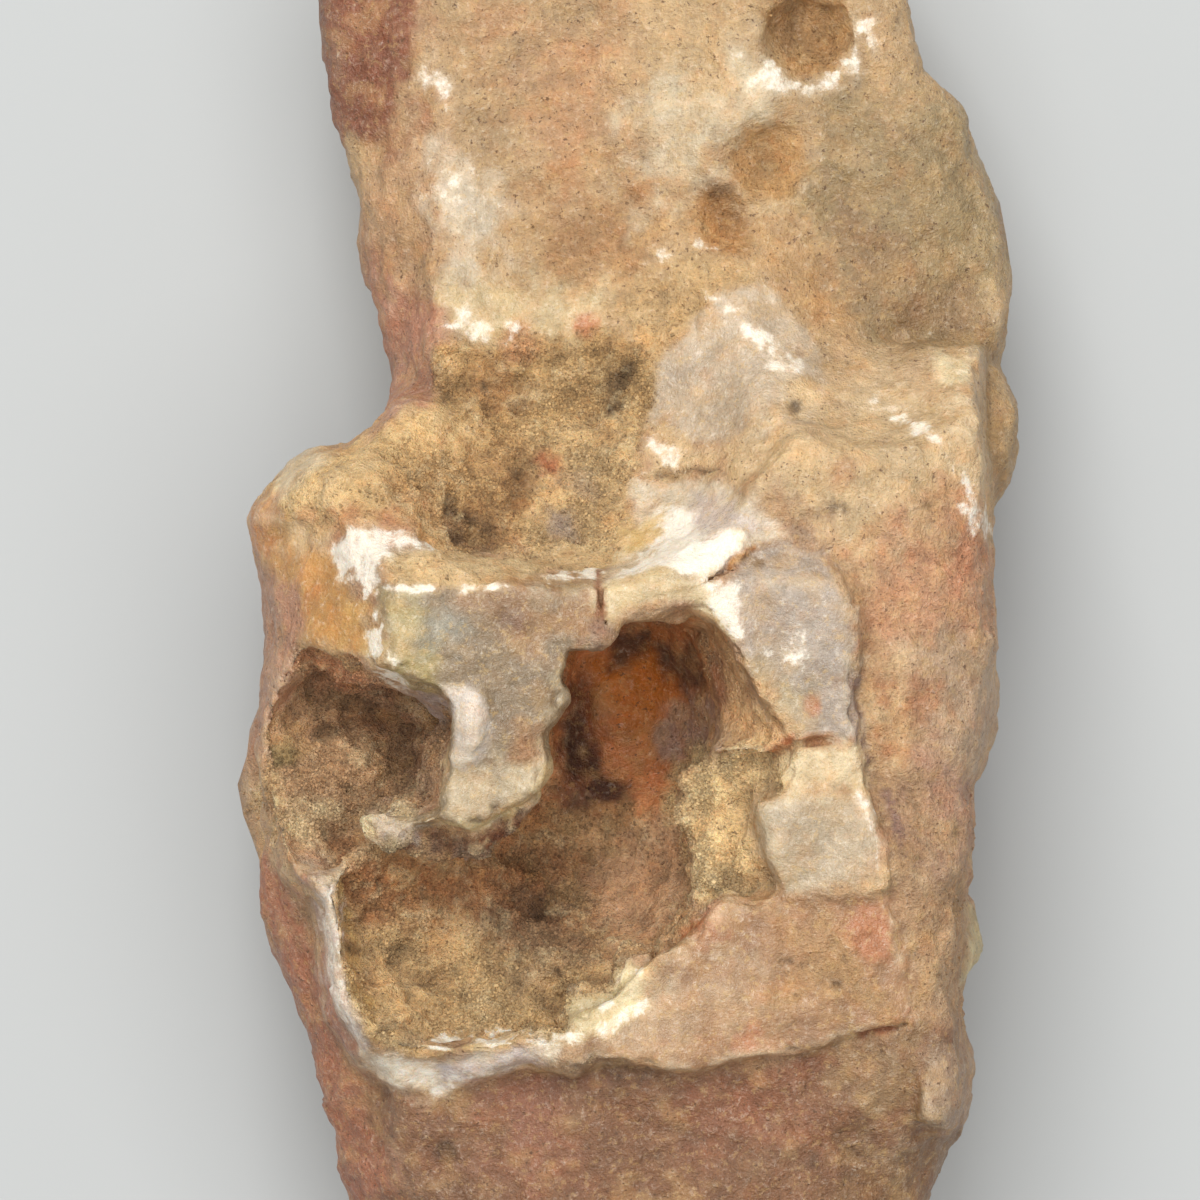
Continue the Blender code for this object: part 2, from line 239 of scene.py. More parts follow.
# Blocks: outline, the height it is drawn at, how far the sides spread for each mm down, the flat
# breaks that bound it, how worn its edges are, and how it grows out of the rest
UPPER_FACE = (
    ((428, -30), (432, 50), (405, 115), (370, 165), (356, 230), (366, 280), (385, 340), (394, 380),
     (388, 420), (640, 440), (655, 330), (690, 250), (745, 200), (790, 100), (800, -60), (640, -140),
     (480, -120)),
    10.0, 0.05,
    (((550, 335, 19.4), (0.03, 0.33, 1.0)),
     ((550, 340, 19.9), (0.0, -0.9, 1.0)),
     ((453, 250, 18.9), (-0.92, 0.04, 0.39))),
    0.8, 0.3,
)
SHOULDER = (
    ((690, 240), (700, 100), (740, -60), (860, -60), (905, 20), (925, 90), (960, 130), (985, 190),
     (1000, 230), (1006, 300), (1000, 350), (830, 362), (760, 285)),
    13.0, 0.3,
    (((850, 330, 17.2), (0.34, 0.10, 1.0)),
     ((760, 60, 16.2), (0.30, 0.02, 1.0))),
    0.8, 0.7,
)
PALE_FACET = (
    ((690, 246), (722, 262), (760, 285), (800, 325), (830, 362), (872, 400), (880, 520), (640, 520),
     (636, 430), (645, 375), (640, 345), (622, 312)),
    21.0, 0.5,
    (((740, 330, 21.6), (0.10, 0.12, 1.0)),
     ((712, 305, 21.4), (-0.50, 0.55, 0.67))),
    0.3, 0.3,
)
RIGHT_SIDE = (
    ((832, 372), (870, 350), (918, 345), (972, 352), (980, 420), (990, 520), (994, 580), (1001, 640),
     (999, 700), (985, 770), (974, 800), (975, 870), (962, 960), (966, 1030), (970, 1090), (950, 1145),
     (912, 1128), (908, 1040), (700, 1000), (700, 500)),
    19.0, 0.10,
    (((880, 600, 23.2), (0.14, -0.02, 1.0)),
     ((938, 700, 22.3), (0.50, 0.0, 0.86)),
     ((900, 388, 22.8), (0.05, 0.62, 0.78))),
    0.6, 0.4,
)
LOWER_BODY = (
    ((345, 1040), (700, 930), (966, 940), (972, 1060), (972, 1100), (962, 1130), (950, 1150),
     (930, 1195), (900, 1300), (700, 1400), (480, 1400), (390, 1290), (352, 1180)),
    16.0, 0.40,
    (((650, 1100, 21.9), (-0.02, -0.22, 1.0)),
     ((900, 1138, 20.6), (0.25, -0.50, 0.83))),
    1.0, 0.6,
)
FRONT = (
    ((255, 512), (275, 482), (300, 462), (322, 450), (345, 448), (385, 430), (440, 416), (560, 430),
     (640, 445), (700, 470), (800, 505), (845, 560), (866, 600), (868, 640), (858, 700), (870, 780),
     (885, 880), (905, 960), (918, 1028), (850, 1035), (830, 1048), (790, 1058), (730, 1064), (690, 1073),
     (640, 1066), (600, 1061), (570, 1076), (520, 1070), (480, 1082), (440, 1098), (400, 1086),
     (362, 1052), (338, 1010), (328, 960), (330, 900), (300, 865), (283, 820), (268, 760), (272, 690),
     (290, 640), (262, 570)),
    23.0, 0.20,
    (((500, 600, 26.2), (0.10, -0.085, 1.0)),
     ((480, 588, 26.4), (0.06, 0.70, 0.70)),
     ((388, 610, 26.4), (-0.76, 0.08, 0.62)),
     ((346, 960, 25.0), (-0.80, -0.10, 0.60)),
     ((480, 1052, 24.3), (-0.10, -0.70, 0.70))),
    0.2, 0.2,
)
ROOF_RIDGE = (
    ((262, 512), (278, 486), (300, 466), (322, 454), (345, 450), (385, 432), (440, 418), (470, 430),
     (455, 462), (420, 488), (380, 505), (330, 520)),
    22.0, 0.30,
    (((370, 470, 23.2), (0.0, 0.15, 1.0)),
     ((300, 480, 21.8), (-0.76, 0.08, 0.62))),
    0.5, 0.6,
)
CHALK_BLOCK = (
    ((640, 480), (712, 478), (735, 500), (752, 545), (742, 575), (700, 590), (640, 598), (600, 592),
     (612, 562), (636, 540)),
    24.0, 0.20,
    (((690, 530, 24.5), (0.06, 0.42, 1.0)),),
    0.12, 0.15,
)
WHITE_FACET = (
    ((757, 803), (800, 792), (868, 795), (884, 840), (886, 890), (850, 897), (783, 897), (765, 860)),
    23.5, 0.15,
    (((820, 850, 24.1), (0.12, -0.06, 1.0)),),
    0.4, 0.5,
)
BLOCKS = (
    UPPER_FACE, SHOULDER, PALE_FACET, RIGHT_SIDE, LOWER_BODY, FRONT, ROOF_RIDGE, CHALK_BLOCK, WHITE_FACET,
)

# Outline of the whole stone at the height where it is widest, and how it draws in below and above
GIRDLE_HEIGHT = 11.0
GIRDLE = (
    (318, -60), (316, 0), (325, 60), (333, 110), (342, 160), (352, 212), (357, 250), (366, 280),
    (376, 300), (385, 340), (393, 378), (386, 412), (372, 430), (350, 445), (320, 450), (297, 462),
    (275, 485), (258, 510), (254, 530), (260, 570), (262, 620), (264, 660), (262, 690), (252, 720),
    (245, 750), (240, 790), (242, 830), (250, 870), (262, 910), (278, 950), (296, 1000), (312, 1050),
    (322, 1090), (334, 1130), (345, 1170), (360, 1230), (410, 1320), (500, 1395), (620, 1415),
    (760, 1400), (870, 1310), (925, 1200), (940, 1175), (950, 1150), (962, 1130), (972, 1100),
    (973, 1060), (968, 1030), (965, 1000), (970, 970), (985, 950), (985, 900), (968, 890), (975, 865),
    (977, 830), (976, 790), (985, 780), (996, 750), (1002, 700), (1003, 640), (998, 600), (993, 560),
    (995, 520), (1005, 500), (1018, 470), (1022, 440), (1015, 400), (1005, 370), (1003, 340),
    (1010, 300), (1012, 260), (1003, 225), (1003, 200), (990, 180), (975, 155), (962, 125), (940, 95),
    (918, 75), (912, 40), (905, 0), (885, -80), (820, -160), (700, -210), (560, -205), (420, -150),
)
GIRDLE_UNDERCUT = 0.058
GIRDLE_CROWN = 0.008
# Old breaks round the back and the ends, each as a point and the way it faces
BREAKS = (
    ((262, 900, 6.0), (-0.80, -0.15, -0.55)),
    ((270, 560, 7.0), (-0.75, 0.05, -0.60)),
    ((360, 120, 4.5), (-0.70, 0.10, -0.70)),
    ((965, 260, 6.0), (0.72, 0.20, -0.65)),
    ((975, 620, 5.0), (0.70, -0.10, -0.70)),
    ((950, 1020, 5.5), (0.66, -0.20, -0.72)),
    ((640, 1395, 9.0), (0.10, -0.80, -0.60)),
    ((800, 1350, 14.0), (0.45, -0.75, 0.48)),
    ((450, 1340, 14.0), (-0.55, -0.65, 0.50)),
    ((620, -190, 8.0), (-0.15, 0.80, -0.55)),
    ((720, -190, 12.5), (0.20, 0.70, 0.65)),
    ((850, -110, 9.0), (0.70, 0.60, 0.20)),
)

# Hollows with steep sides: outline, the height it is drawn at, how far the sides draw in for each mm
# down, the floor as a point and the way it faces, and how the floor meets the sides
LEFT_PIT = (
    ((308, 646), (332, 660), (360, 680), (395, 690), (425, 703), (447, 722), (434, 760), (428, 800),
     (388, 812), (370, 838), (330, 868), (296, 862), (262, 800), (250, 740), (276, 690)),
    22.0, 0.22, ((340, 740, 18.0), (0.55, 0.42, 1.0)), 0.8,
)
MAIN_HOLLOW = (
    ((338, 880), (352, 850), (372, 842), (400, 848), (430, 857), (482, 860), (505, 840), (528, 805),
     (540, 792), (552, 765), (551, 735), (571, 700), (563, 680), (569, 656), (600, 652), (625, 622),
     (660, 612), (700, 617), (715, 660), (712, 700), (690, 745), (672, 775), (682, 800), (688, 815),
     (690, 850), (722, 890), (690, 935), (652, 955), (610, 1000), (550, 1035), (450, 1045), (380, 1030),
     (352, 990), (342, 940)),
    24.0, 0.15, ((500, 800, 21.8), (0.0, 0.0, 1.0)), 1.0,
)
RIGHT_SLOPE = (
    ((640, 640), (686, 610), (716, 625), (745, 680), (768, 715), (792, 742), (705, 752), (650, 760)),
    24.0, 0.10, ((792, 735, 24.4), (-0.80, 0.10, 0.60)), 0.5,
)
TERRACE = (
    ((700, 748), (792, 745), (775, 790), (756, 802), (764, 860), (783, 897), (722, 892), (690, 850),
     (680, 800), (670, 775)),
    24.0, 0.20, ((725, 810, 21.4), (-0.70, 0.10, 1.0)), 0.4,
)
SHELF_LAYER = (
    ((356, 842), (375, 812), (400, 829), (440, 825), (470, 832), (500, 811), (545, 790), (530, 812),
     (508, 848), (482, 868), (430, 865), (372, 852)),
    24.0, 0.10, ((450, 840, 23.9), (-0.08, 0.06, 1.0)), 0.2,
)
PITS = (LEFT_PIT, MAIN_HOLLOW, RIGHT_SLOPE, TERRACE, SHELF_LAYER)
# Bowls below the thin shelf that hangs over the hollow, and the shelf's underside
BOWLS = (
    ((624, 715, 19.0), (3.9, 5.6, 6.4)),
    ((500, 930, 24.0), (8.0, 5.6, 5.8)),
    ((590, 830, 20.0), (5.4, 5.4, 5.8)),
)
BOWL_EASE = 1.6
SHELF_UNDERSIDE = ((480, 740, 23.2), (-0.05, -0.02, 1.0))
# Dents of the front, and shallow scoops in the flanks: centre, half sizes, how worn the edge is
DENTS = (
    ((390, 706, 19.2), (2.6, 1.3, 2.0), 0.3),
    ((548, 392, 21.6), (5.0, 2.2, 4.6), 0.6),
    ((727, 222, 18.6), (1.6, 1.7, 2.8), 0.25),
    ((770, 150, 18.2), (1.9, 1.7, 3.0), 0.3),
    ((805, 28, 17.2), (1.9, 1.9, 2.2), 0.25),
    ((568, 118, 24.4), (13.0, 20.0, 9.1), 1.2),
    ((486, 505, 25.2), (3.4, 2.3, 4.8), 0.5),
    ((880, 175, 24.0), (10.0, 12.0, 8.7), 1.2),
    ((232, 800, 13.5), (2.2, 6.5, 4.0), 1.0),
    ((1010, 860, 14.0), (1.6, 4.5, 6.0), 1.0),
    ((650, 1440, 11.0), (8.0, 3.0, 5.0), 1.0),
    ((1050, 520, 5.0), (5.5, 7.5, 5.5), 0.8),
    ((1035, 900, 6.0), (4.8, 6.0, 4.8), 0.8),
    ((205, 930, 5.5), (6.0, 7.0, 5.0), 0.8),
    ((205, 600, 5.5), (5.6, 5.0, 5.0), 0.8),
    ((262, 150, 3.5), (4.2, 6.0, 3.5), 0.8),
)
# What stands proud of the front: the curved vein, crystals of the ledge and lumps of the terrace,
# each as its centre, half sizes, squareness and how it grows out of the rest
KNOBS = (
    ((455, 700, 25.4), (0.85, 0.7, 0.9), 2.2, 0.25),
    ((466, 730, 25.5), (0.95, 1.75, 1.1), 2.0, 0.25),
    ((458, 760, 25.4), (0.75, 0.6, 0.85), 2.2, 0.25),
    ((600, 1000, 21.0), (1.6, 0.8, 1.9), 5.0, 0.2),
    ((632, 968, 21.2), (0.9, 1.1, 2.1), 5.0, 0.2),
    ((575, 1020, 21.6), (0.9, 0.6, 1.5), 5.0, 0.2),
    ((702, 795, 19.4), (1.4, 1.5, 1.6), 3.2, 0.9),
    ((714, 850, 19.6), (1.3, 1.3, 1.6), 3.2, 0.9),
    ((595, 635, 24.6), (0.9, 0.7, 1.2), 3.0, 0.25),
    ((383, 826, 23.1), (0.8, 0.6, 1.0), 4.0, 0.25),
)
# Cracks in the front: path, height, half width, depth
CRACKS = (
    (((790, 522), (822, 542), (846, 566), (858, 600), (866, 638)), 24.0, 0.07, 0.4),
    (((855, 655), (856, 700), (866, 745), (878, 782), (895, 830), (905, 900)), 23.8, 0.09, 0.7),
    (((702, 754), (760, 750), (800, 744), (862, 739)), 24.6, 0.06, 0.7),
    (((655, 472), (690, 468), (722, 471)), 21.9, 0.10, 0.8),
    (((597, 572), (598, 600), (602, 620)), 25.6, 0.07, 0.6),
    (((700, 584), (722, 575), (740, 556), (754, 548)), 25.2, 0.07, 0.5),
    (((850, 1046), (868, 1034), (905, 1026)), 23.4, 0.12, 0.8),
)

# How wide the joins are filled and the edges worn, how high the last swells and ripples are, and
# where the pits and the bowls are worked
FAR_AWAY = 50.0
MASS_EASE = 0.8
FLATS_MEET = 0.3
GIRDLE_WEAR = 1.0
BREAK_WEAR = 0.8
PIT_EDGE_WEAR = 0.25
SHELF_WEAR = 0.4
BOWL_EDGE_WEAR = 0.3
CRACK_EDGE_WEAR = 0.15
SWELL, SWELL_SIZE = 0.16, 3.0
RIPPLE, RIPPLE_SIZE = 0.07, 1.2
PIT_FOOT = 12.0
BOWLS_LOW, BOWLS_HIGH = (-16.0, -22.0, 10.0), (10.0, 4.0, AXES[2][-1])
stone = np.full(X.shape, FAR_AWAY, np.float32)
for lump in MASSES:
    where, form = mass_place(lump)
    stone[where] = joined(stone[where], mass(where, *form), MASS_EASE)
for outline, height, spread, breaks, wear, ease in BLOCKS:
    where = wall_place(outline, height, spread, BLOCK_FOOT)
    top = flat_break(where, *breaks[0])
    for other in breaks[1:]:
        top = shared(top, flat_break(where, *other), FLATS_MEET)
    block = np.maximum(shared(wall(where, outline, height, spread), top, wear), BLOCK_FOOT - Z[where])
    stone[where] = joined(stone[where], block, ease)

everywhere = (slice(None),) * 3
aside = outline_distance(SHEET_X, SHEET_Y, ring_at(GIRDLE, GIRDLE_HEIGHT))[:, :, None]
drawn_in = GIRDLE_UNDERCUT * np.maximum(GIRDLE_HEIGHT - 1.0 - Z, 0.0) ** 2
drawn_in += GIRDLE_CROWN * np.maximum(Z - GIRDLE_HEIGHT - 2.0, 0.0) ** 2
stone = shared(stone, aside + drawn_in, GIRDLE_WEAR)
for point, facing in BREAKS:
    stone = shared(stone, flat_break(everywhere, point, facing), BREAK_WEAR)

for lump in DENTS:
    where, form = mass_place(lump[:2])
    stone[where] = shared(stone[where], -mass(where, *form), lump[2])
for outline, height, taper, floor, ease in PITS:
    where = wall_place(outline, height, 0.0, PIT_FOOT)
    hollow = shared(wall(where, outline, height, -taper), -flat_break(where, *floor), ease)
    stone[where] = shared(stone[where], -hollow, PIT_EDGE_WEAR)
where = around(BOWLS_LOW, BOWLS_HIGH)
bowl = np.full(X[where].shape, FAR_AWAY, np.float32)
for centre, radii in BOWLS:
    bowl = joined(bowl, mass(where, on_sheet(*centre), radii), BOWL_EASE)
bowl = shared(bowl, flat_break(where, *SHELF_UNDERSIDE), SHELF_WEAR)
stone[where] = shared(stone[where], -bowl, BOWL_EDGE_WEAR)
for lump in KNOBS:
    where, form = mass_place(lump[:3])
    stone[where] = joined(stone[where], mass(where, *form), lump[3])
for path, height, half_width, depth in CRACKS:
    ring = np.array(ring_at(path, height))
    where = around(np.append(ring.min(0), height), np.append(ring.max(0), height))
    aside = outline_distance(SHEET_X[where[:2]], SHEET_Y[where[:2]], ring_at(path, height), closed=False)
    lower = np.maximum(np.abs(Z[where] - height) - depth, 0.0)
    crack = half_width - np.hypot(aside[:, :, None], lower)
    stone[where] = shared(stone[where], crack, CRACK_EDGE_WEAR)
stone += SWELL * waves(AXES, SWELL_SIZE, 21) + RIPPLE * waves(AXES, RIPPLE_SIZE, 22)
stone = np.maximum(stone, -GRID[2])


def surface_of(field, axes):
    """Points and four-cornered faces where a field is zero, with one point in each cell it crosses."""
    inside = field < 0.0
    cells_along = [side - 1 for side in field.shape]
    count = np.zeros(cells_along, np.uint8)
    corners = [(i, j, k) for i in (0, 1) for j in (0, 1) for k in (0, 1)]
    for i, j, k in corners:
        count += inside[i:i + cells_along[0], j:j + cells_along[1], k:k + cells_along[2]]
    cells = np.argwhere((count > 0) & (count < 8))
    number = np.full(cells_along, -1, np.int32)
    number[tuple(cells.T)] = np.arange(len(cells))
    value = {corner: field[tuple((cells + corner).T)].astype(np.float64) for corner in corners}
    total = np.zeros((len(cells), 3))
    crossings = np.zeros(len(cells))
    for corner in corners:
        for n in range(3):
            if corner[n]:
                continue
            far = tuple(1 if m == n else c for m, c in enumerate(corner))
            a, b = value[corner], value[far]
            crossed = (a < 0) != (b < 0)
            point = np.tile(np.array(corner, float), (len(cells), 1))
            point[:, n] = np.where(crossed, a / np.where(crossed, a - b, 1.0), 0.0)
            total += point * crossed[:, None]
            crossings += crossed
    place = cells + total / crossings[:, None]
    points = np.stack([np.interp(place[:, n], np.arange(len(axes[n])), axes[n]) for n in range(3)], 1)
    faces = []
    for n in range(3):
        near = inside[tuple(slice(0, -1) if m == n else slice(None) for m in range(3))]
        far = inside[tuple(slice(1, None) if m == n else slice(None) for m in range(3))]
        edge = np.argwhere(near != far)
        u, v = (n + 1) % 3, (n + 2) % 3
        round_edge = []
        for du, dv in ((1, 1), (0, 1), (0, 0), (1, 0)):
            cell = edge.copy()
            cell[:, u] -= du
            cell[:, v] -= dv
            round_edge.append(number[tuple(cell.T)])
        face = np.stack(round_edge, 1)
        turned = ~near[tuple(edge.T)]
        face[turned] = face[turned][:, ::-1]
        faces.append(face)
    return points, np.concatenate(faces)


def read_field(field, axes, points):
    """The field at any points, from the eight grid points round each."""
    low, part = [], []
    for n in range(3):
        place = np.interp(points[:, n], axes[n], np.arange(len(axes[n])))
        whole = np.clip(place.astype(int), 0, len(axes[n]) - 2)
        low.append(whole)
        part.append(place - whole)
    total = 0.0
    for i, j, k in ((i, j, k) for i in (0, 1) for j in (0, 1) for k in (0, 1)):
        share = 1.0
        for along, corner in zip(part, (i, j, k)):
            share = share * (along if corner else 1.0 - along)
        total = total + share * field[low[0] + i, low[1] + j, low[2] + k]
    return total


def slope_and_bend(field, axes, points, reach):
    """Which way the field rises at each point, and how strongly the surface bulges there."""
    slopes = []
    bend = -6.0 * read_field(field, axes, points)
    for n in range(3):
        shift = np.zeros(3)
        shift[n] = reach
        ahead = read_field(field, axes, points + shift)
        behind = read_field(field, axes, points - shift)
        slopes.append((ahead - behind) / (2.0 * reach))
        bend += ahead + behind
    return np.stack(slopes, 1), bend / reach ** 2


def biggest_piece(points, faces):
    """Drops every part of the surface but the largest joined one."""
    label = np.arange(len(points))
    while True:
        lowest = label[faces].min(1)
        grown = label.copy()
        np.minimum.at(grown, faces.reshape(-1), np.repeat(lowest, 4))
        grown = grown[grown]
        if (grown == label).all():
            break
        label = grown
    keep = label == np.bincount(label).argmax()
    number = np.cumsum(keep) - 1
    return points[keep], number[faces[keep[faces].all(1)]]


points, faces = surface_of(stone, AXES)
points, faces = biggest_piece(points, faces)
# Each point is drawn most of the way to the true surface
SETTLING_ROUNDS = 2
SETTLING_SHARE = 0.7
LEAST_STEEPNESS = 0.2
for _ in range(SETTLING_ROUNDS):
    slope, _ = slope_and_bend(stone, AXES, points, 0.5 * FINE_GRID)
    steep = np.maximum((slope ** 2).sum(1), LEAST_STEEPNESS)
    off = np.clip(read_field(stone, AXES, points) / steep, -FINE_GRID, FINE_GRID)
    points = points - SETTLING_SHARE * off[:, None] * slope
EDGE_REACH = 0.45
EDGE_STRENGTH = 0.35
BASE_WITHIN = 0.08
facing, bend = slope_and_bend(stone, AXES, points, EDGE_REACH)
facing /= np.maximum(np.linalg.norm(facing, axis=1), 1e-6)[:, None]
bulge = np.clip(EDGE_STRENGTH * bend, -1.0, 1.0)
on_base = points[:, 2] < BASE_WITHIN
points[on_base, 2] = 0.0


# The stone's skin
# Lilac and white chalcedony shows on the fresh breaks, chalk along their edges, iron stain and a tan
# crust elsewhere. In places the chalk is whitened as a painted highlight of glints along the top edges.
# Each zone is an outline on the sheet, with ragged borders. A finish gives how sandy, how waxy, how much
# chalk and painted glint, and how specked a place is.

WAXY = (0.04, 1.0, 0.0, 0.12)
CLEAN = (0.22, 0.5, 0.0, 0.75)
SUGARY = (0.50, 0.2, 0.0, 0.6)
SANDY = (1.0, 0.0, 0.0, 0.7)
MILKY = (0.04, 1.0, 0.5, 0.12)
# White chalk, which along the top edges also serves as a painted highlight of the glints there
CHALK_AND_GLINT = (0.10, 0.5, 1.0, 0.08)
USUAL_HEIGHTS = (8, 99)
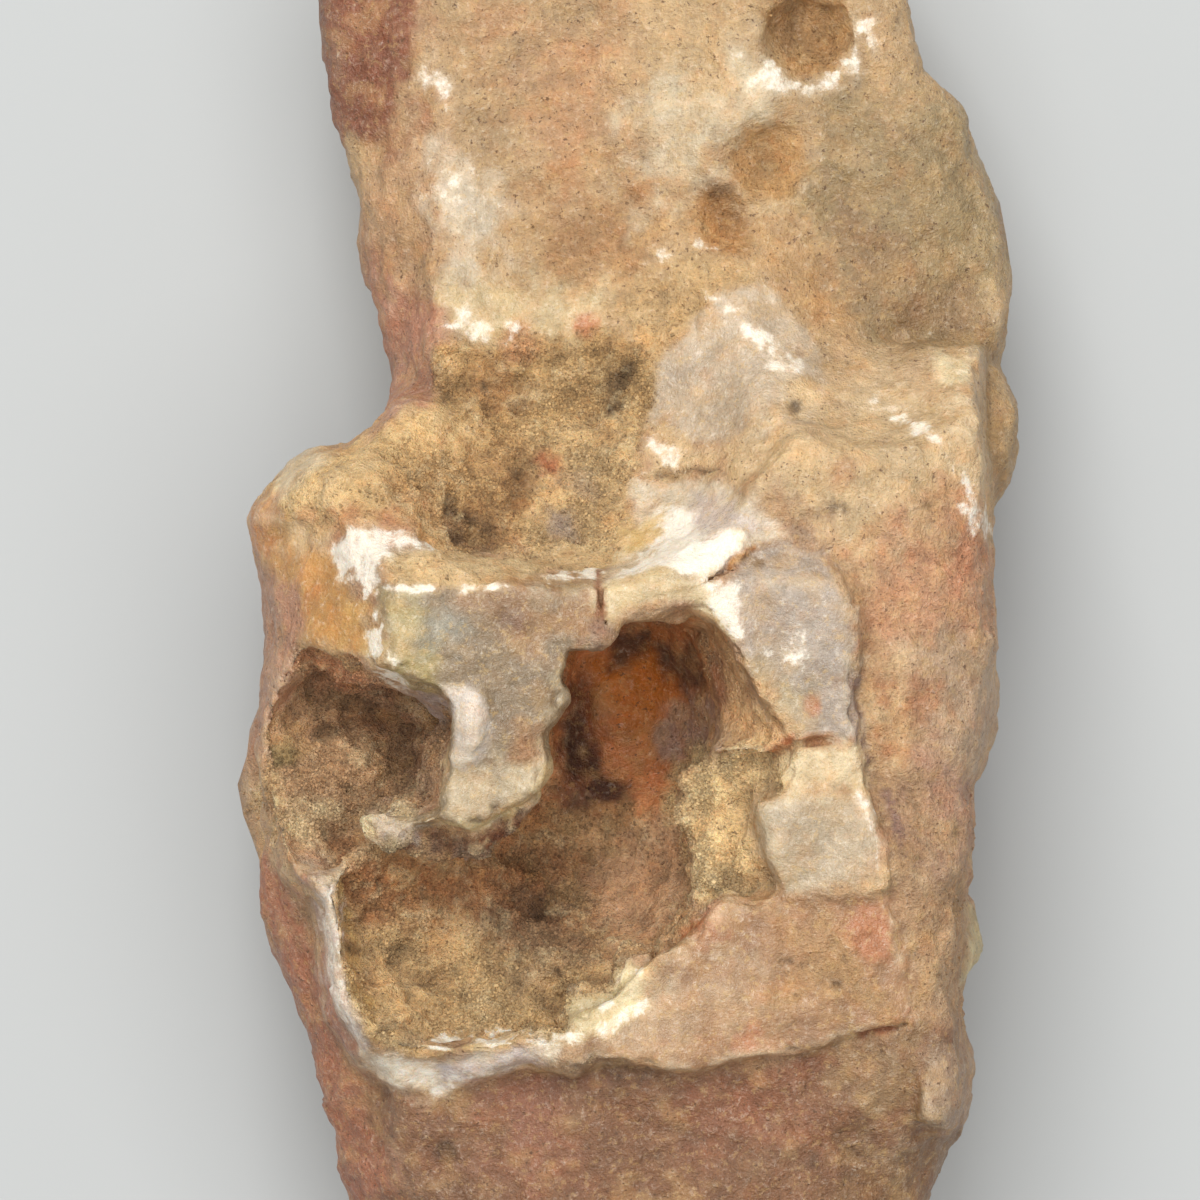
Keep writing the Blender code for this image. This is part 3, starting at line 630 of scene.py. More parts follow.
# Colour, finish, how much of it covers, width of its border, lowest and highest height where they are
# not the usual ones, outline
ZONES = (
    # The upper face
    ((196, 162, 120), CLEAN, 1.0, 30, ((400, -150), (1000, -150), (1010, 420), (640, 440), (440, 420),
     (430, 60))),
    ((148, 90, 62), CLEAN, 1.0, 16, (1, 99), ((290, -60), (414, -60), (416, 60), (404, 92), (376, 140),
     (348, 156), (300, 140), (290, 30))),
    ((214, 178, 132), CLEAN, 0.9, 26, (1, 99), ((310, 146), (380, 150), (360, 215), (320, 215))),
    ((208, 166, 124), CLEAN, 0.9, 40, ((356, 200), (405, 120), (440, 120), (446, 260), (440, 300),
     (390, 290), (360, 250))),
    ((190, 132, 104), CLEAN, 0.95, 34, (4, 99), ((350, 262), (400, 285), (446, 300), (448, 350),
     (440, 412), (370, 420), (380, 330))),
    ((230, 212, 186), WAXY, 0.8, 40, ((440, 150), (496, 170), (500, 290), (450, 285))),
    ((224, 198, 152), WAXY, 0.95, 40, ((448, 288), (500, 268), (600, 280), (622, 310), (560, 342),
     (500, 348), (455, 322))),
    ((198, 152, 110), CLEAN, 0.8, 80, ((505, 20), (630, 0), (640, 150), (560, 180), (510, 110))),
    ((146, 112, 76), CLEAN, 0.6, 30, ((530, 86), (556, 90), (560, 118), (536, 116))),
    ((178, 132, 88), SUGARY, 0.8, 60, ((552, 205), (640, 200), (646, 262), (565, 278))),
    ((218, 184, 138), CLEAN, 0.8, 60, ((640, -40), (752, -40), (740, 110), (640, 130))),
    ((222, 206, 176), WAXY, 0.7, 50, ((640, 100), (740, 60), (760, 110), (690, 190), (640, 230))),
    ((182, 138, 88), SUGARY, 0.95, 16, ((758, -20), (842, -20), (845, 50), (826, 68), (790, 68),
     (766, 44))),
    ((194, 148, 94), SUGARY, 0.95, 20, ((728, 168), (745, 130), (772, 124), (810, 130), (812, 165),
     (798, 200), (768, 212), (745, 200))),
    ((176, 126, 72), SUGARY, 0.95, 14, ((683, 220), (700, 195), (725, 188), (745, 205), (752, 240),
     (735, 262), (705, 262), (690, 245))),
    ((118, 82, 46), SUGARY, 0.7, 12, ((704, 186), (728, 184), (738, 196), (712, 202))),
    ((168, 144, 104), CLEAN, 0.85, 80, ((820, 90), (960, 100), (1030, 200), (1030, 340), (860, 340),
     (810, 200))),
    ((162, 128, 90), CLEAN, 0.8, 50, ((850, 220), (920, 240), (990, 330), (880, 340), (845, 290))),
    ((196, 152, 104), CLEAN, 0.8, 40, ((750, 230), (790, 220), (840, 250), (860, 330), (840, 362),
     (780, 300))),
    # The crumbly recess above the front
    ((206, 166, 114), SANDY, 1.0, 24, ((446, 350), (500, 343), (600, 338), (652, 345), (642, 415),
     (600, 440), (520, 440), (470, 430), (430, 408))),
    ((138, 104, 62), SANDY, 0.7, 40, ((600, 352), (636, 350), (640, 410), (606, 420))),
    ((148, 106, 66), SANDY, 0.6, 50, ((450, 366), (500, 372), (520, 400), (470, 402))),
    # The pale facet and the ground round it
    ((206, 170, 122), SUGARY, 1.0, 20, ((618, 312), (690, 250), (722, 262), (765, 292), (716, 303),
     (690, 330), (650, 362), (632, 345))),
    ((208, 186, 160), WAXY, 1.0, 14, ((648, 366), (692, 332), (718, 302), (760, 290), (796, 318),
     (822, 358), (830, 402), (800, 432), (700, 442), (642, 420))),
    ((206, 172, 132), CLEAN, 1.0, 44, ((812, 362), (870, 348), (975, 350), (980, 420), (960, 440),
     (900, 430), (830, 400))),
    ((224, 196, 156), WAXY, 0.8, 40, ((850, 372), (960, 380), (975, 450), (940, 470), (850, 430))),
    ((248, 230, 190), WAXY, 0.9, 18, ((936, 350), (970, 352), (966, 384), (940, 378))),
    # The right side
    ((222, 190, 146), CLEAN, 1.0, 50, ((640, 440), (700, 442), (800, 404), (860, 402), (985, 440),
     (990, 520), (905, 545), (870, 570), (830, 545), (790, 520), (720, 480), (640, 474))),
    ((190, 158, 128), CLEAN, 1.0, 60, (4, 99), ((870, 560), (1010, 560), (1012, 720), (990, 775),
     (960, 792), (926, 742), (880, 640))),
    ((200, 148, 112), SUGARY, 0.85, 70, (4, 99), ((862, 560), (960, 505), (992, 545), (996, 625),
     (930, 640), (872, 630))),
    ((198, 130, 92), SUGARY, 0.6, 60, (4, 99), ((930, 560), (985, 540), (990, 612), (945, 616))),
    ((184, 124, 84), SUGARY, 0.9, 50, ((862, 640), (890, 640), (912, 660), (934, 700), (925, 750),
     (880, 750), (858, 700))),
    ((186, 148, 112), SUGARY, 1.0, 44, (4, 99), ((866, 760), (925, 752), (960, 790), (990, 790),
     (985, 1040), (912, 1030), (890, 860))),
    ((196, 150, 126), SUGARY, 0.7, 60, (4, 99), ((946, 772), (990, 780), (985, 880), (945, 860))),
    ((176, 142, 96), CLEAN, 0.9, 20, (1, 18), ((985, 300), (1034, 300), (1034, 540), (990, 540))),
    ((214, 196, 150), CLEAN, 0.9, 16, (1, 18), ((976, 860), (1000, 860), (1000, 980), (970, 980))),
    # The roof of the front block
    ((230, 192, 136), SUGARY, 1.0, 16, ((246, 512), (300, 460), (345, 446), (400, 412), (440, 404),
     (480, 428), (505, 455), (440, 520), (300, 545), (258, 560))),
    ((240, 220, 184), WAXY, 0.7, 22, ((288, 462), (312, 450), (330, 462), (300, 490), (272, 500))),
    ((200, 158, 108), SANDY, 1.0, 40, ((400, 452), (470, 436), (530, 450), (536, 500), (520, 546),
     (470, 552), (425, 538), (388, 512), (380, 480))),
    ((150, 112, 72), SANDY, 0.75, 44, ((440, 500), (474, 488), (508, 480), (512, 456), (530, 456),
     (530, 500), (500, 548), (450, 544))),
    ((208, 138, 92), SUGARY, 0.75, 34, ((304, 518), (345, 508), (420, 514), (432, 530), (340, 538))),
    ((214, 178, 128), SANDY, 0.95, 26, ((535, 430), (640, 405), (642, 474), (632, 510), (612, 545),
     (600, 568), (545, 572), (530, 540), (532, 480))),
    ((222, 190, 142), SUGARY, 1.0, 18, ((385, 556), (440, 549), (520, 551), (602, 542), (600, 572),
     (560, 577), (480, 592), (390, 592))),
    ((160, 140, 128), SUGARY, 0.7, 20, ((552, 464), (584, 468), (588, 490), (560, 486))),
    ((164, 146, 138), SUGARY, 0.7, 16, ((550, 506), (568, 506), (572, 532), (556, 532))),
    # The left facet
    ((206, 152, 86), WAXY, 1.0, 20, ((262, 520), (284, 510), (300, 545), (335, 550), (350, 580),
     (372, 610), (376, 640), (352, 656), (330, 650), (305, 644), (290, 600), (268, 560))),
    ((212, 140, 84), WAXY, 0.7, 34, ((298, 548), (318, 552), (320, 606), (298, 600))),
    ((228, 182, 108), WAXY, 0.8, 30, ((340, 590), (372, 604), (372, 646), (340, 640))),
    ((202, 136, 82), WAXY, 0.9, 20, (4, 99), ((240, 500), (276, 500), (276, 552), (250, 560))),
    ((236, 206, 160), WAXY, 0.7, 30, ((282, 520), (330, 540), (326, 560), (286, 556))),
    ((190, 142, 114), CLEAN, 1.0, 26, (1, 99), ((225, 560), (268, 566), (292, 604), (304, 648), (300, 700),
     (262, 760), (215, 800))),
    # Chalk at the roof's left corner, whitened further as a painted highlight of the glint there
    ((250, 244, 230), CHALK_AND_GLINT, 0.95, 22, ((332, 552), (345, 540), (375, 533), (420, 537), (432, 546),
     (400, 552), (388, 566), (388, 594), (368, 598), (352, 575))),
    # The shelf over the hollow
    ((156, 134, 106), WAXY, 1.0, 10, (23.2, 99), ((376, 590), (480, 594), (598, 574), (598, 640),
     (572, 650), (566, 690), (570, 705), (552, 745), (552, 765), (540, 792), (505, 808), (470, 830),
     (440, 824), (398, 830), (378, 820), (425, 800), (432, 760), (446, 722), (440, 700), (398, 690),
     (384, 650))),
    ((172, 130, 88), WAXY, 0.8, 50, (23.2, 99), ((470, 598), (598, 578), (596, 640), (520, 650))),
    ((200, 180, 122), WAXY, 0.8, 44, (23.2, 99), ((384, 600), (412, 600), (425, 680), (398, 684),
     (384, 650))),
    ((156, 152, 138), WAXY, 0.75, 34, (23.2, 99), ((414, 604), (446, 600), (464, 632), (450, 648),
     (420, 640))),
    ((128, 104, 92), WAXY, 0.6, 30, (23.2, 99), ((500, 608), (524, 612), (526, 638), (504, 640))),
    ((206, 186, 152), WAXY, 0.8, 40, (23.2, 99), ((440, 770), (480, 765), (545, 745), (545, 785),
     (500, 805), (450, 818))),
    ((174, 124, 84), SUGARY, 0.8, 30, (23.2, 99), ((512, 718), (548, 712), (550, 740), (520, 748))),
    ((234, 220, 208), WAXY, 0.95, 8, (23.2, 99), ((436, 692), (465, 688), (484, 710), (490, 735),
     (482, 758), (464, 772), (446, 768), (448, 750), (450, 730), (444, 712))),
    ((150, 116, 96), SUGARY, 0.95, 14, (22, 99), ((572, 654), (598, 614), (622, 614), (616, 640),
     (602, 660))),
    # Painted shade: a very dark brown on the layer just under the shelf's edge, where the shelf shadows it
    ((104, 58, 30), SANDY, 1.0, 12, (21.0, 24.8), ((366, 848), (378, 832), (440, 828), (470, 834),
     (505, 812), (528, 800), (510, 846), (482, 868), (430, 868), (385, 858))),
    # The left pit
    ((196, 154, 114), SANDY, 1.0, 14, (8, 25), ((300, 648), (345, 661), (395, 688), (444, 704), (450, 724),
     (434, 745), (436, 775), (428, 802), (392, 814), (372, 840), (330, 866), (288, 858), (262, 800),
     (256, 760), (270, 720), (296, 700))),
    ((232, 168, 126), SANDY, 0.9, 24, (8, 25), ((302, 646), (400, 686), (372, 702), (318, 694))),
    ((188, 150, 122), SUGARY, 0.7, 44, (8, 25), ((376, 690), (432, 712), (430, 790), (392, 780))),
    ((112, 100, 62), SANDY, 0.8, 20, (8, 25), ((270, 740), (290, 740), (290, 764), (274, 764))),
    # Painted shade: a darker band in the pit just below the vein's rim, where the rim overhangs it
    ((128, 86, 58), SANDY, 0.6, 40, (8, 25), ((312, 704), (360, 704), (400, 730), (340, 734))),
    ((238, 210, 164), SANDY, 0.95, 40, (8, 25), ((272, 790), (310, 808), (392, 800), (376, 836),
     (330, 870), (296, 866))),
    ((212, 194, 182), WAXY, 0.9, 18, ((370, 812), (402, 806), (404, 834), (384, 848), (372, 838))),
    ((204, 178, 156), WAXY, 0.9, 24, ((298, 842), (332, 846), (334, 872), (308, 878))),
    # The chalk block and the arch
    ((234, 214, 186), WAXY, 1.0, 12, ((636, 478), (700, 476), (750, 498), (792, 535), (752, 550),
     (730, 562), (715, 582), (640, 580), (600, 584), (610, 548), (630, 522))),
    # Chalk on the chalk block, whitened further as a painted highlight of the lamps' reflection on it
    ((255, 250, 240), CHALK_AND_GLINT, 1.0, 16, ((646, 502), (690, 508), (748, 538), (748, 556), (690, 576),
     (642, 580), (612, 590), (606, 580), (640, 548))),
    ((212, 194, 186), WAXY, 0.8, 26, ((690, 496), (745, 498), (784, 530), (740, 540), (696, 528))),
    ((232, 196, 128), WAXY, 0.9, 20, ((624, 516), (660, 512), (646, 548), (604, 562))),
    ((226, 202, 158), WAXY, 1.0, 16, (22, 99), ((600, 584), (650, 566), (705, 582), (722, 602), (738, 642),
     (722, 640), (700, 608), (640, 602), (612, 616), (598, 604))),
    ((188, 170, 154), WAXY, 1.0, 14, (22, 99), ((750, 552), (790, 540), (832, 552), (852, 600), (862, 650),
     (860, 700), (864, 742), (800, 746), (775, 738), (752, 700), (742, 655), (738, 600), (730, 580))),
    ((198, 176, 138), WAXY, 0.9, 36, (22, 99), ((742, 665), (795, 665), (806, 700), (796, 736), (770, 726),
     (750, 690))),
    ((242, 230, 210), CHALK_AND_GLINT, 0.95, 16, (22, 99), ((704, 584), (738, 588), (746, 620), (748, 646),
     (728, 636), (714, 606))),
    ((236, 222, 200), CHALK_AND_GLINT, 0.6, 30, (22, 99), ((764, 640), (808, 640), (830, 654), (800, 668),
     (766, 664))),
    # The hollow
    ((190, 150, 106), SANDY, 1.0, 12, (8, 23.0), MAIN_HOLLOW[0]),
    # Painted shade: a darker copy of the sandy floor where the shelf hangs over the bowl
    ((184, 126, 82), SANDY, 0.9, 60, (8, 22.6), ((335, 846), (400, 850), (482, 858), (530, 800),
     (570, 870), (560, 935), (430, 930), (380, 920), (345, 880))),
    # Painted light: a paler copy of the sandy floor on the bowl's lower wall, which faces the light
    ((214, 178, 128), SANDY, 0.95, 50, (8, 25.2), ((342, 905), (356, 935), (450, 950), (560, 968),
     (630, 955), (605, 1005), (560, 1035), (450, 1048), (370, 1030), (348, 985))),
    # Painted shade: a dark patch in the bowl below the shelf
    ((146, 116, 90), SANDY, 0.6, 60, (8, 24), ((470, 900), (580, 890), (600, 960), (520, 1000),
     (470, 960))),
    ((206, 160, 122), SUGARY, 0.8, 50, (8, 23.5), ((600, 830), (680, 820), (690, 900), (640, 960),
     (600, 930))),
    ((214, 138, 84), CLEAN, 1.0, 44, (8, 22.5), ((540, 640), (700, 600), (720, 700), (690, 790),
     (600, 810), (545, 790), (540, 700))),
    ((126, 66, 30), CLEAN, 0.8, 26, (8, 22.5), ((560, 690), (596, 655), (602, 700), (608, 760), (640, 800),
     (600, 816), (560, 792))),
    ((210, 120, 26), CLEAN, 1.0, 30, (8, 22.5), ((598, 672), (622, 662), (640, 650), (655, 640),
     (668, 662), (682, 680), (675, 720), (640, 748), (606, 738), (596, 700))),
    ((92, 56, 34), SUGARY, 0.9, 16, (8, 22.5), ((610, 636), (650, 630), (648, 646), (630, 672),
     (612, 674))),
    ((98, 62, 42), SUGARY, 0.9, 18, (8, 22.5), ((655, 640), (690, 650), (704, 690), (684, 694),
     (664, 664))),
    # Part stain, part painted shade: a black manganese stain where the hollow runs in under the shelf,
    # darkened further as shade
    ((66, 36, 20), SUGARY, 0.9, 34, (8, 22.5), ((568, 700), (590, 696), (602, 762), (622, 800), (590, 806),
     (574, 770))),
    ((182, 150, 134), SUGARY, 0.9, 24, (8, 23.5), ((668, 720), (690, 696), (716, 704), (722, 742),
     (695, 765), (668, 748))),
    # Painted light: sugary stone of the hollow's right slope, made paler to lift it out of the shade it
    # lies in
    ((238, 190, 138), SUGARY, 1.0, 30, (8, 25.2), ((692, 618), (720, 628), (752, 688), (792, 738),
     (760, 746), (712, 745), (718, 700), (706, 660))),
    ((232, 198, 146), SANDY, 1.0, 26, (8, 25), ((664, 775), (688, 748), (760, 750), (800, 752), (790, 792),
     (758, 802), (756, 850), (778, 896), (722, 900), (694, 880), (684, 840), (672, 815))),
    # The lower lip
    ((186, 142, 104), WAXY, 1.0, 24, ((560, 1045), (640, 1003), (668, 955), (722, 895), (900, 890),
     (920, 1024), (870, 1042), (800, 1058), (700, 1072), (640, 1066), (600, 1062))),
    ((188, 148, 104), SUGARY, 0.8, 70, ((770, 910), (890, 930), (890, 1010), (790, 1010))),
    ((208, 174, 136), WAXY, 0.7, 60, ((600, 1010), (700, 960), (760, 970), (740, 1030), (620, 1050))),
    ((204, 182, 152), WAXY, 1.0, 24, ((757, 800), (800, 792), (870, 797), (886, 840), (884, 892),
     (788, 896), (764, 860))),
    # Pale waxy stone, lightened as a painted reflection of the lamps on this shiny facet
    ((244, 222, 180), WAXY, 0.9, 30, ((794, 748), (862, 742), (872, 796), (796, 796))),
    ((222, 200, 186), MILKY, 0.95, 14, ((316, 872), (334, 880), (341, 930), (342, 985), (366, 1044),
     (352, 1050), (330, 1012), (316, 980), (320, 940))),
    ((234, 212, 164), WAXY, 1.0, 16, ((562, 1004), (600, 988), (622, 955), (648, 966), (644, 1000),
     (612, 1024), (570, 1036))),
    ((250, 234, 210), MILKY, 1.0, 16, ((352, 1046), (400, 1046), (440, 1060), (500, 1048), (556, 1046),
     (545, 1062), (480, 1080), (450, 1104), (425, 1096), (400, 1088), (366, 1064))),
    ((220, 206, 210), WAXY, 0.8, 20, ((440, 1066), (500, 1052), (530, 1056), (480, 1076), (446, 1090))),
    # The lower body
    ((142, 99, 68), CLEAN, 1.0, 18, (8, 22.8), ((350, 1070), (440, 1102), (560, 1068), (690, 1074),
     (800, 1060), (870, 1040), (960, 1020), (990, 1300), (350, 1300))),
    ((166, 110, 86), CLEAN, 0.6, 70, (8, 22.8), ((480, 1086), (560, 1080), (570, 1150), (500, 1150))),
    ((166, 108, 80), CLEAN, 0.5, 80, (8, 22.8), ((680, 1080), (810, 1080), (810, 1145), (700, 1145))),
    ((170, 138, 100), CLEAN, 0.8, 70, (8, 22.9), ((840, 1046), (925, 1036), (940, 1130), (840, 1132))),
    ((140, 104, 68), CLEAN, 0.8, 60, (8, 22.8), ((840, 1146), (950, 1140), (940, 1230), (830, 1230))),
    ((176, 144, 116), CLEAN, 0.8, 40, (4, 99), ((932, 1050), (985, 1040), (985, 1130), (930, 1126))),
    ((176, 114, 84), CLEAN, 0.95, 30, (1, 99), ((215, 800), (262, 860), (300, 880), (320, 980),
     (340, 1040), (372, 1100), (400, 1260), (215, 1260))),
)
# Along edges and seams: colour, finish, how much covers, width, heights as above, path
LINES = (
    ((250, 238, 216), CHALK_AND_GLINT, 1.0, 7, (22, 99), ((385, 591), (440, 591), (480, 590), (520, 583),
     (560, 576), (596, 572))),
    ((246, 232, 208), CHALK_AND_GLINT, 0.9, 12, ((374, 596), (376, 632), (370, 648), (392, 676), (404, 684))),
    ((184, 164, 160), WAXY, 0.9, 12, ((400, 690), (424, 700), (440, 706))),
    ((240, 216, 164), WAXY, 0.9, 8, (23, 99), ((436, 820), (470, 826), (505, 808), (542, 782),
     (552, 758))),
    ((236, 206, 160), WAXY, 0.7, 7, (23, 99), ((436, 720), (440, 760), (432, 796), (398, 812))),
    ((150, 82, 46), SUGARY, 0.8, 5, (22, 99), ((597, 574), (600, 596), (602, 618))),
    ((238, 208, 154), SUGARY, 0.9, 9, ((268, 776), (282, 812), (300, 838))),
    ((196, 130, 66), SUGARY, 0.9, 6, ((698, 585), (722, 575), (738, 558), (756, 549))),
    ((188, 122, 74), SUGARY, 0.9, 8, ((768, 746), (800, 742), (832, 738), (862, 740))),
    ((140, 108, 100), SUGARY, 0.8, 6, ((853, 655), (856, 700), (864, 742), (878, 775), (898, 810),
     (908, 850))),
    ((170, 142, 120), CLEAN, 0.6, 6, ((785, 522), (820, 542), (846, 562), (860, 600), (866, 636))),
    # Chalk along the right block's top edge, partly a painted highlight of the glint there
    ((252, 244, 228), CHALK_AND_GLINT, 0.7, 12, ((876, 404), (905, 418), (930, 426), (950, 436))),
    ((240, 222, 198), CHALK_AND_GLINT, 0.6, 12, ((955, 446), (972, 490), (985, 535))),
    # Chalk along the pale facet's edge, partly a painted highlight of the lamps' reflection there
    ((252, 244, 232), CHALK_AND_GLINT, 0.75, 14, ((714, 304), (750, 330), (770, 352), (792, 362))),
    ((242, 230, 210), CHALK_AND_GLINT, 0.6, 16, ((742, 66), (790, 84), (842, 80), (862, 56), (860, 26))),
    ((222, 194, 152), WAXY, 0.5, 12, ((736, 204), (752, 208), (792, 200), (812, 176))),
    ((236, 216, 184), CHALK_AND_GLINT, 0.5, 12, ((660, 268), (690, 246), (720, 258), (760, 286))),
    ((250, 238, 222), CHALK_AND_GLINT, 0.7, 20, ((430, 66), (440, 84))),
    ((248, 234, 212), CHALK_AND_GLINT, 0.5, 26, ((436, 180), (480, 200))),
    ((246, 232, 210), CHALK_AND_GLINT, 0.7, 20, ((456, 318), (480, 334), (510, 338))),
    ((222, 178, 112), SUGARY, 0.85, 10, ((341, 880), (346, 940), (352, 990), (374, 1036), (430, 1050),
     (500, 1044))),
    ((248, 226, 180), CHALK_AND_GLINT, 0.75, 9, ((430, 1044), (500, 1040), (560, 1040), (610, 1024), (642, 1000))),
    # Chalk crest on the lower lip, partly a painted highlight of the glint there
    ((250, 242, 232), CHALK_AND_GLINT, 0.9, 10, ((425, 1080), (438, 1094), (452, 1086), (470, 1076))),
    ((250, 240, 220), CHALK_AND_GLINT, 0.7, 8, ((580, 1008), (602, 1000), (616, 976), (640, 966))),
    ((236, 214, 190), CHALK_AND_GLINT, 0.6, 10, ((862, 792), (880, 836), (884, 884))),
    ((172, 98, 62), SUGARY, 0.8, 6, ((850, 1048), (868, 1034), (906, 1026), (916, 1010))),
    ((118, 80, 52), SUGARY, 0.6, 6, ((568, 1072), (598, 1062), (640, 1074), (672, 1070))),
    ((240, 226, 210), CHALK_AND_GLINT, 0.7, 10, ((642, 430), (652, 442), (672, 456))),
    # Painted shadow: a dark line along the crack above the chalk block, where the block's edge stands over
    # the crust
    ((118, 88, 58), SANDY, 0.7, 7, ((655, 472), (690, 468), (720, 471))),
)
# Iron spots: colour, middle, half width
IRON_SPOTS = (
    ((178, 88, 54), (550, 460), 15), ((202, 116, 74), (590, 325), 15), ((212, 126, 84), (812, 705), 10),
    ((204, 112, 58), (700, 930), 26), ((232, 166, 140), (706, 908), 15), ((204, 130, 88), (872, 925), 32),
    ((212, 156, 112), (525, 345), 22), ((176, 98, 56), (786, 742), 10), ((200, 146, 96), (438, 440), 20),
    ((202, 150, 104), (845, 470), 20), ((150, 74, 46), (345, 685), 14), ((206, 130, 90), (742, 1046), 22),
)
# Dark clots in the crust: middle, half width
CLOTS = (
    ((516, 472), 12), ((448, 500), 12), ((470, 516), 12), ((490, 528), 14), ((456, 534), 10),
    ((618, 380), 14), ((612, 402), 12), ((626, 366), 9), ((486, 388), 9), ((470, 376), 8),
    ((838, 508), 8), ((850, 510), 7), ((935, 508), 7), ((858, 668), 7), ((880, 684), 5), ((620, 1080), 6),
    ((642, 1080), 5), ((660, 1160), 10), ((706, 1158), 8), ((752, 1156), 8), ((812, 1166), 14),
    ((826, 1180), 10), ((835, 903), 5), ((548, 900), 14), ((602, 930), 12), ((560, 970), 9),
    ((350, 950), 8), ((452, 1156), 11), ((722, 660), 5), ((680, 870), 8), ((716, 884), 8),
    ((404, 760), 12), ((330, 730), 14), ((390, 842), 8), ((796, 405), 7),
    ((786, 590), 6), ((760, 566), 9), ((608, 412), 8), ((885, 470), 6), ((790, 960), 8), ((840, 985), 8),
)


CLOT_BROWN = (84, 60, 36)
PAINTED_SHADE_BROWN = (112, 78, 48)
EDGE_HIGHLIGHT_AND_WEAR = (244, 226, 194)
TAN_VEIL = (210, 168, 112)
PALE_CRUMB = (238, 214, 170)


def wander(points, size, seed):
    """A smooth random value at each point, from about -1 to 1, in bumps about one size across."""
    side, start, gain = 48, 1000.37, 1.4
    lattice = np.random.default_rng(seed).uniform(-1.0, 1.0, (side, side, side)).astype(np.float32)
    place = points.astype(np.float32) / size + start
    cell = np.floor(place).astype(np.int32)
    part = place - cell
    part = part * part * (3.0 - 2.0 * part)
    total = 0.0
    for corner in ((i, j, k) for i in (0, 1) for j in (0, 1) for k in (0, 1)):
        share = 1.0
        for n in range(3):
            share = share * (part[:, n] if corner[n] else 1.0 - part[:, n])
        index = (cell + corner) % side
        total = total + share * lattice[index[:, 0], index[:, 1], index[:, 2]]
    return total * gain


def layered(points, *layers):
    """Smooth random values of several sizes added up, each layer a depth, a size and a seed."""
    return sum(depth * wander(points, size, seed) for depth, size, seed in layers)


def nearest_seed(points, size, seed):
    """Distance to the nearest of the seeds strewn one to a cell, in cells, and that seed's random tilt."""
    side, start = 64, 512.0
    random = np.random.default_rng(seed)
    offset = random.uniform(0.0, 1.0, (side, side, side, 3)).astype(np.float32)
    tilt = random.uniform(-1.0, 1.0, (side, side, side, 3)).astype(np.float32)
    place = points.astype(np.float32) / size + start
    cell = np.floor(place).astype(np.int32)
    best = np.full(len(points), 9.0, np.float32)
    lean = np.zeros(len(points), np.float32)
    for corner in ((i, j, k) for i in (-1, 0, 1) for j in (-1, 0, 1) for k in (-1, 0, 1)):
        index = (cell + corner) % side
        index = (index[:, 0], index[:, 1], index[:, 2])
        away = place - (cell + corner) - offset[index]
        distance = np.sqrt((away ** 2).sum(1))
        nearer = distance < best
        best = np.where(nearer, distance, best)
        lean = np.where(nearer, (away * tilt[index]).sum(1), lean)
    return best, lean


def eased_step(value, low, high):
    share = np.clip((value - low) / (high - low), 0.0, 1.0)
    return share * share * (3.0 - 2.0 * share)


def paint_value(red, green, blue):
    """A paint chart's 0 to 255 colour as light."""
    share = np.array((red, green, blue)) / 255.0
    return np.where(share <= 0.04045, share / 12.92, ((share + 0.055) / 1.055) ** 2.4)


# The sheet is read where the field was bent, so that the zones follow the blocks and hollows
bent = [read_field(axis, AXES, points) for axis in (X, Y, Z)]
height = bent[2]
sheet_step = step_at(height)
across, down = SHEET_SIDE / 2 + (bent[0] - SHEET_OFFSET) / sheet_step, SHEET_SIDE / 2 - bent[1] / sheet_step
sheet = np.stack([across, down], 1)
fray = layered(points, (1.6, 0.9, 31), (1.4, 0.4, 32))
blotches = [
    layered(points, (0.42, 2.0, 71 + n), (0.34, 0.8, 74 + n), (0.26, 0.36, 77 + n)) for n in range(3)
]
broken = layered(points, (1.0, 0.8, 80), (0.7, 0.33, 81))
OUT_OF_SIGHT, IN_SIGHT = 6.0, 12.0
seen = eased_step(points[:, 2], OUT_OF_SIGHT, IN_SIGHT) + eased_step(facing[:, 2], 0.0, 0.4)
seen = np.clip(seen, 0.0, 1.0)


def within(outline, reach):
    """Which points lie in or near the box round an outline."""
    low, high = np.min(outline, 0) - reach, np.max(outline, 0) + reach
    return np.flatnonzero((sheet > low).all(1) & (sheet < high).all(1))


HEIGHT_FADE = 0.3


def between(chosen, heights):
    """1 between two heights, fading to 0 just outside them."""
    level = height[chosen]
    above, past = (eased_step(level, limit - HEIGHT_FADE, limit + HEIGHT_FADE) for limit in heights)
    return above * (1.0 - past)


rind = layered(points, (1.0, 6.0, 41), (0.5, 2.2, 42))
rind_brown = paint_value(182, 140, 108)
rind_tan = paint_value(212, 176, 132)
rind_red = paint_value(172, 112, 82)
tint = rind_brown + (rind_tan - rind_brown) * np.clip(0.5 + 0.6 * rind, 0.0, 1.0)[:, None]
tint += (rind_red - tint) * 0.7 * eased_step(wander(points, 7.0, 43), 0.1, 0.7)[:, None]
RIND = (0.35, 0.25, 0.0, 0.5)
finish = np.tile(np.array(RIND), (len(points), 1))
CHALK_AND_GLINT_HALO = 0.45
SPOT_COVER = 0.7
CLOT_COVER = 0.75


def lay(chosen, colour, kind, share):
    """Covers a share of each chosen point with a colour and a finish."""
    share = share[:, None]
    tinted = CHALK_AND_GLINT_HALO if kind is CHALK_AND_GLINT else 1.0
    tint[chosen] += (paint_value(*colour) - tint[chosen]) * share * tinted
    if kind:
        finish[chosen] += (np.array(kind) - finish[chosen]) * share


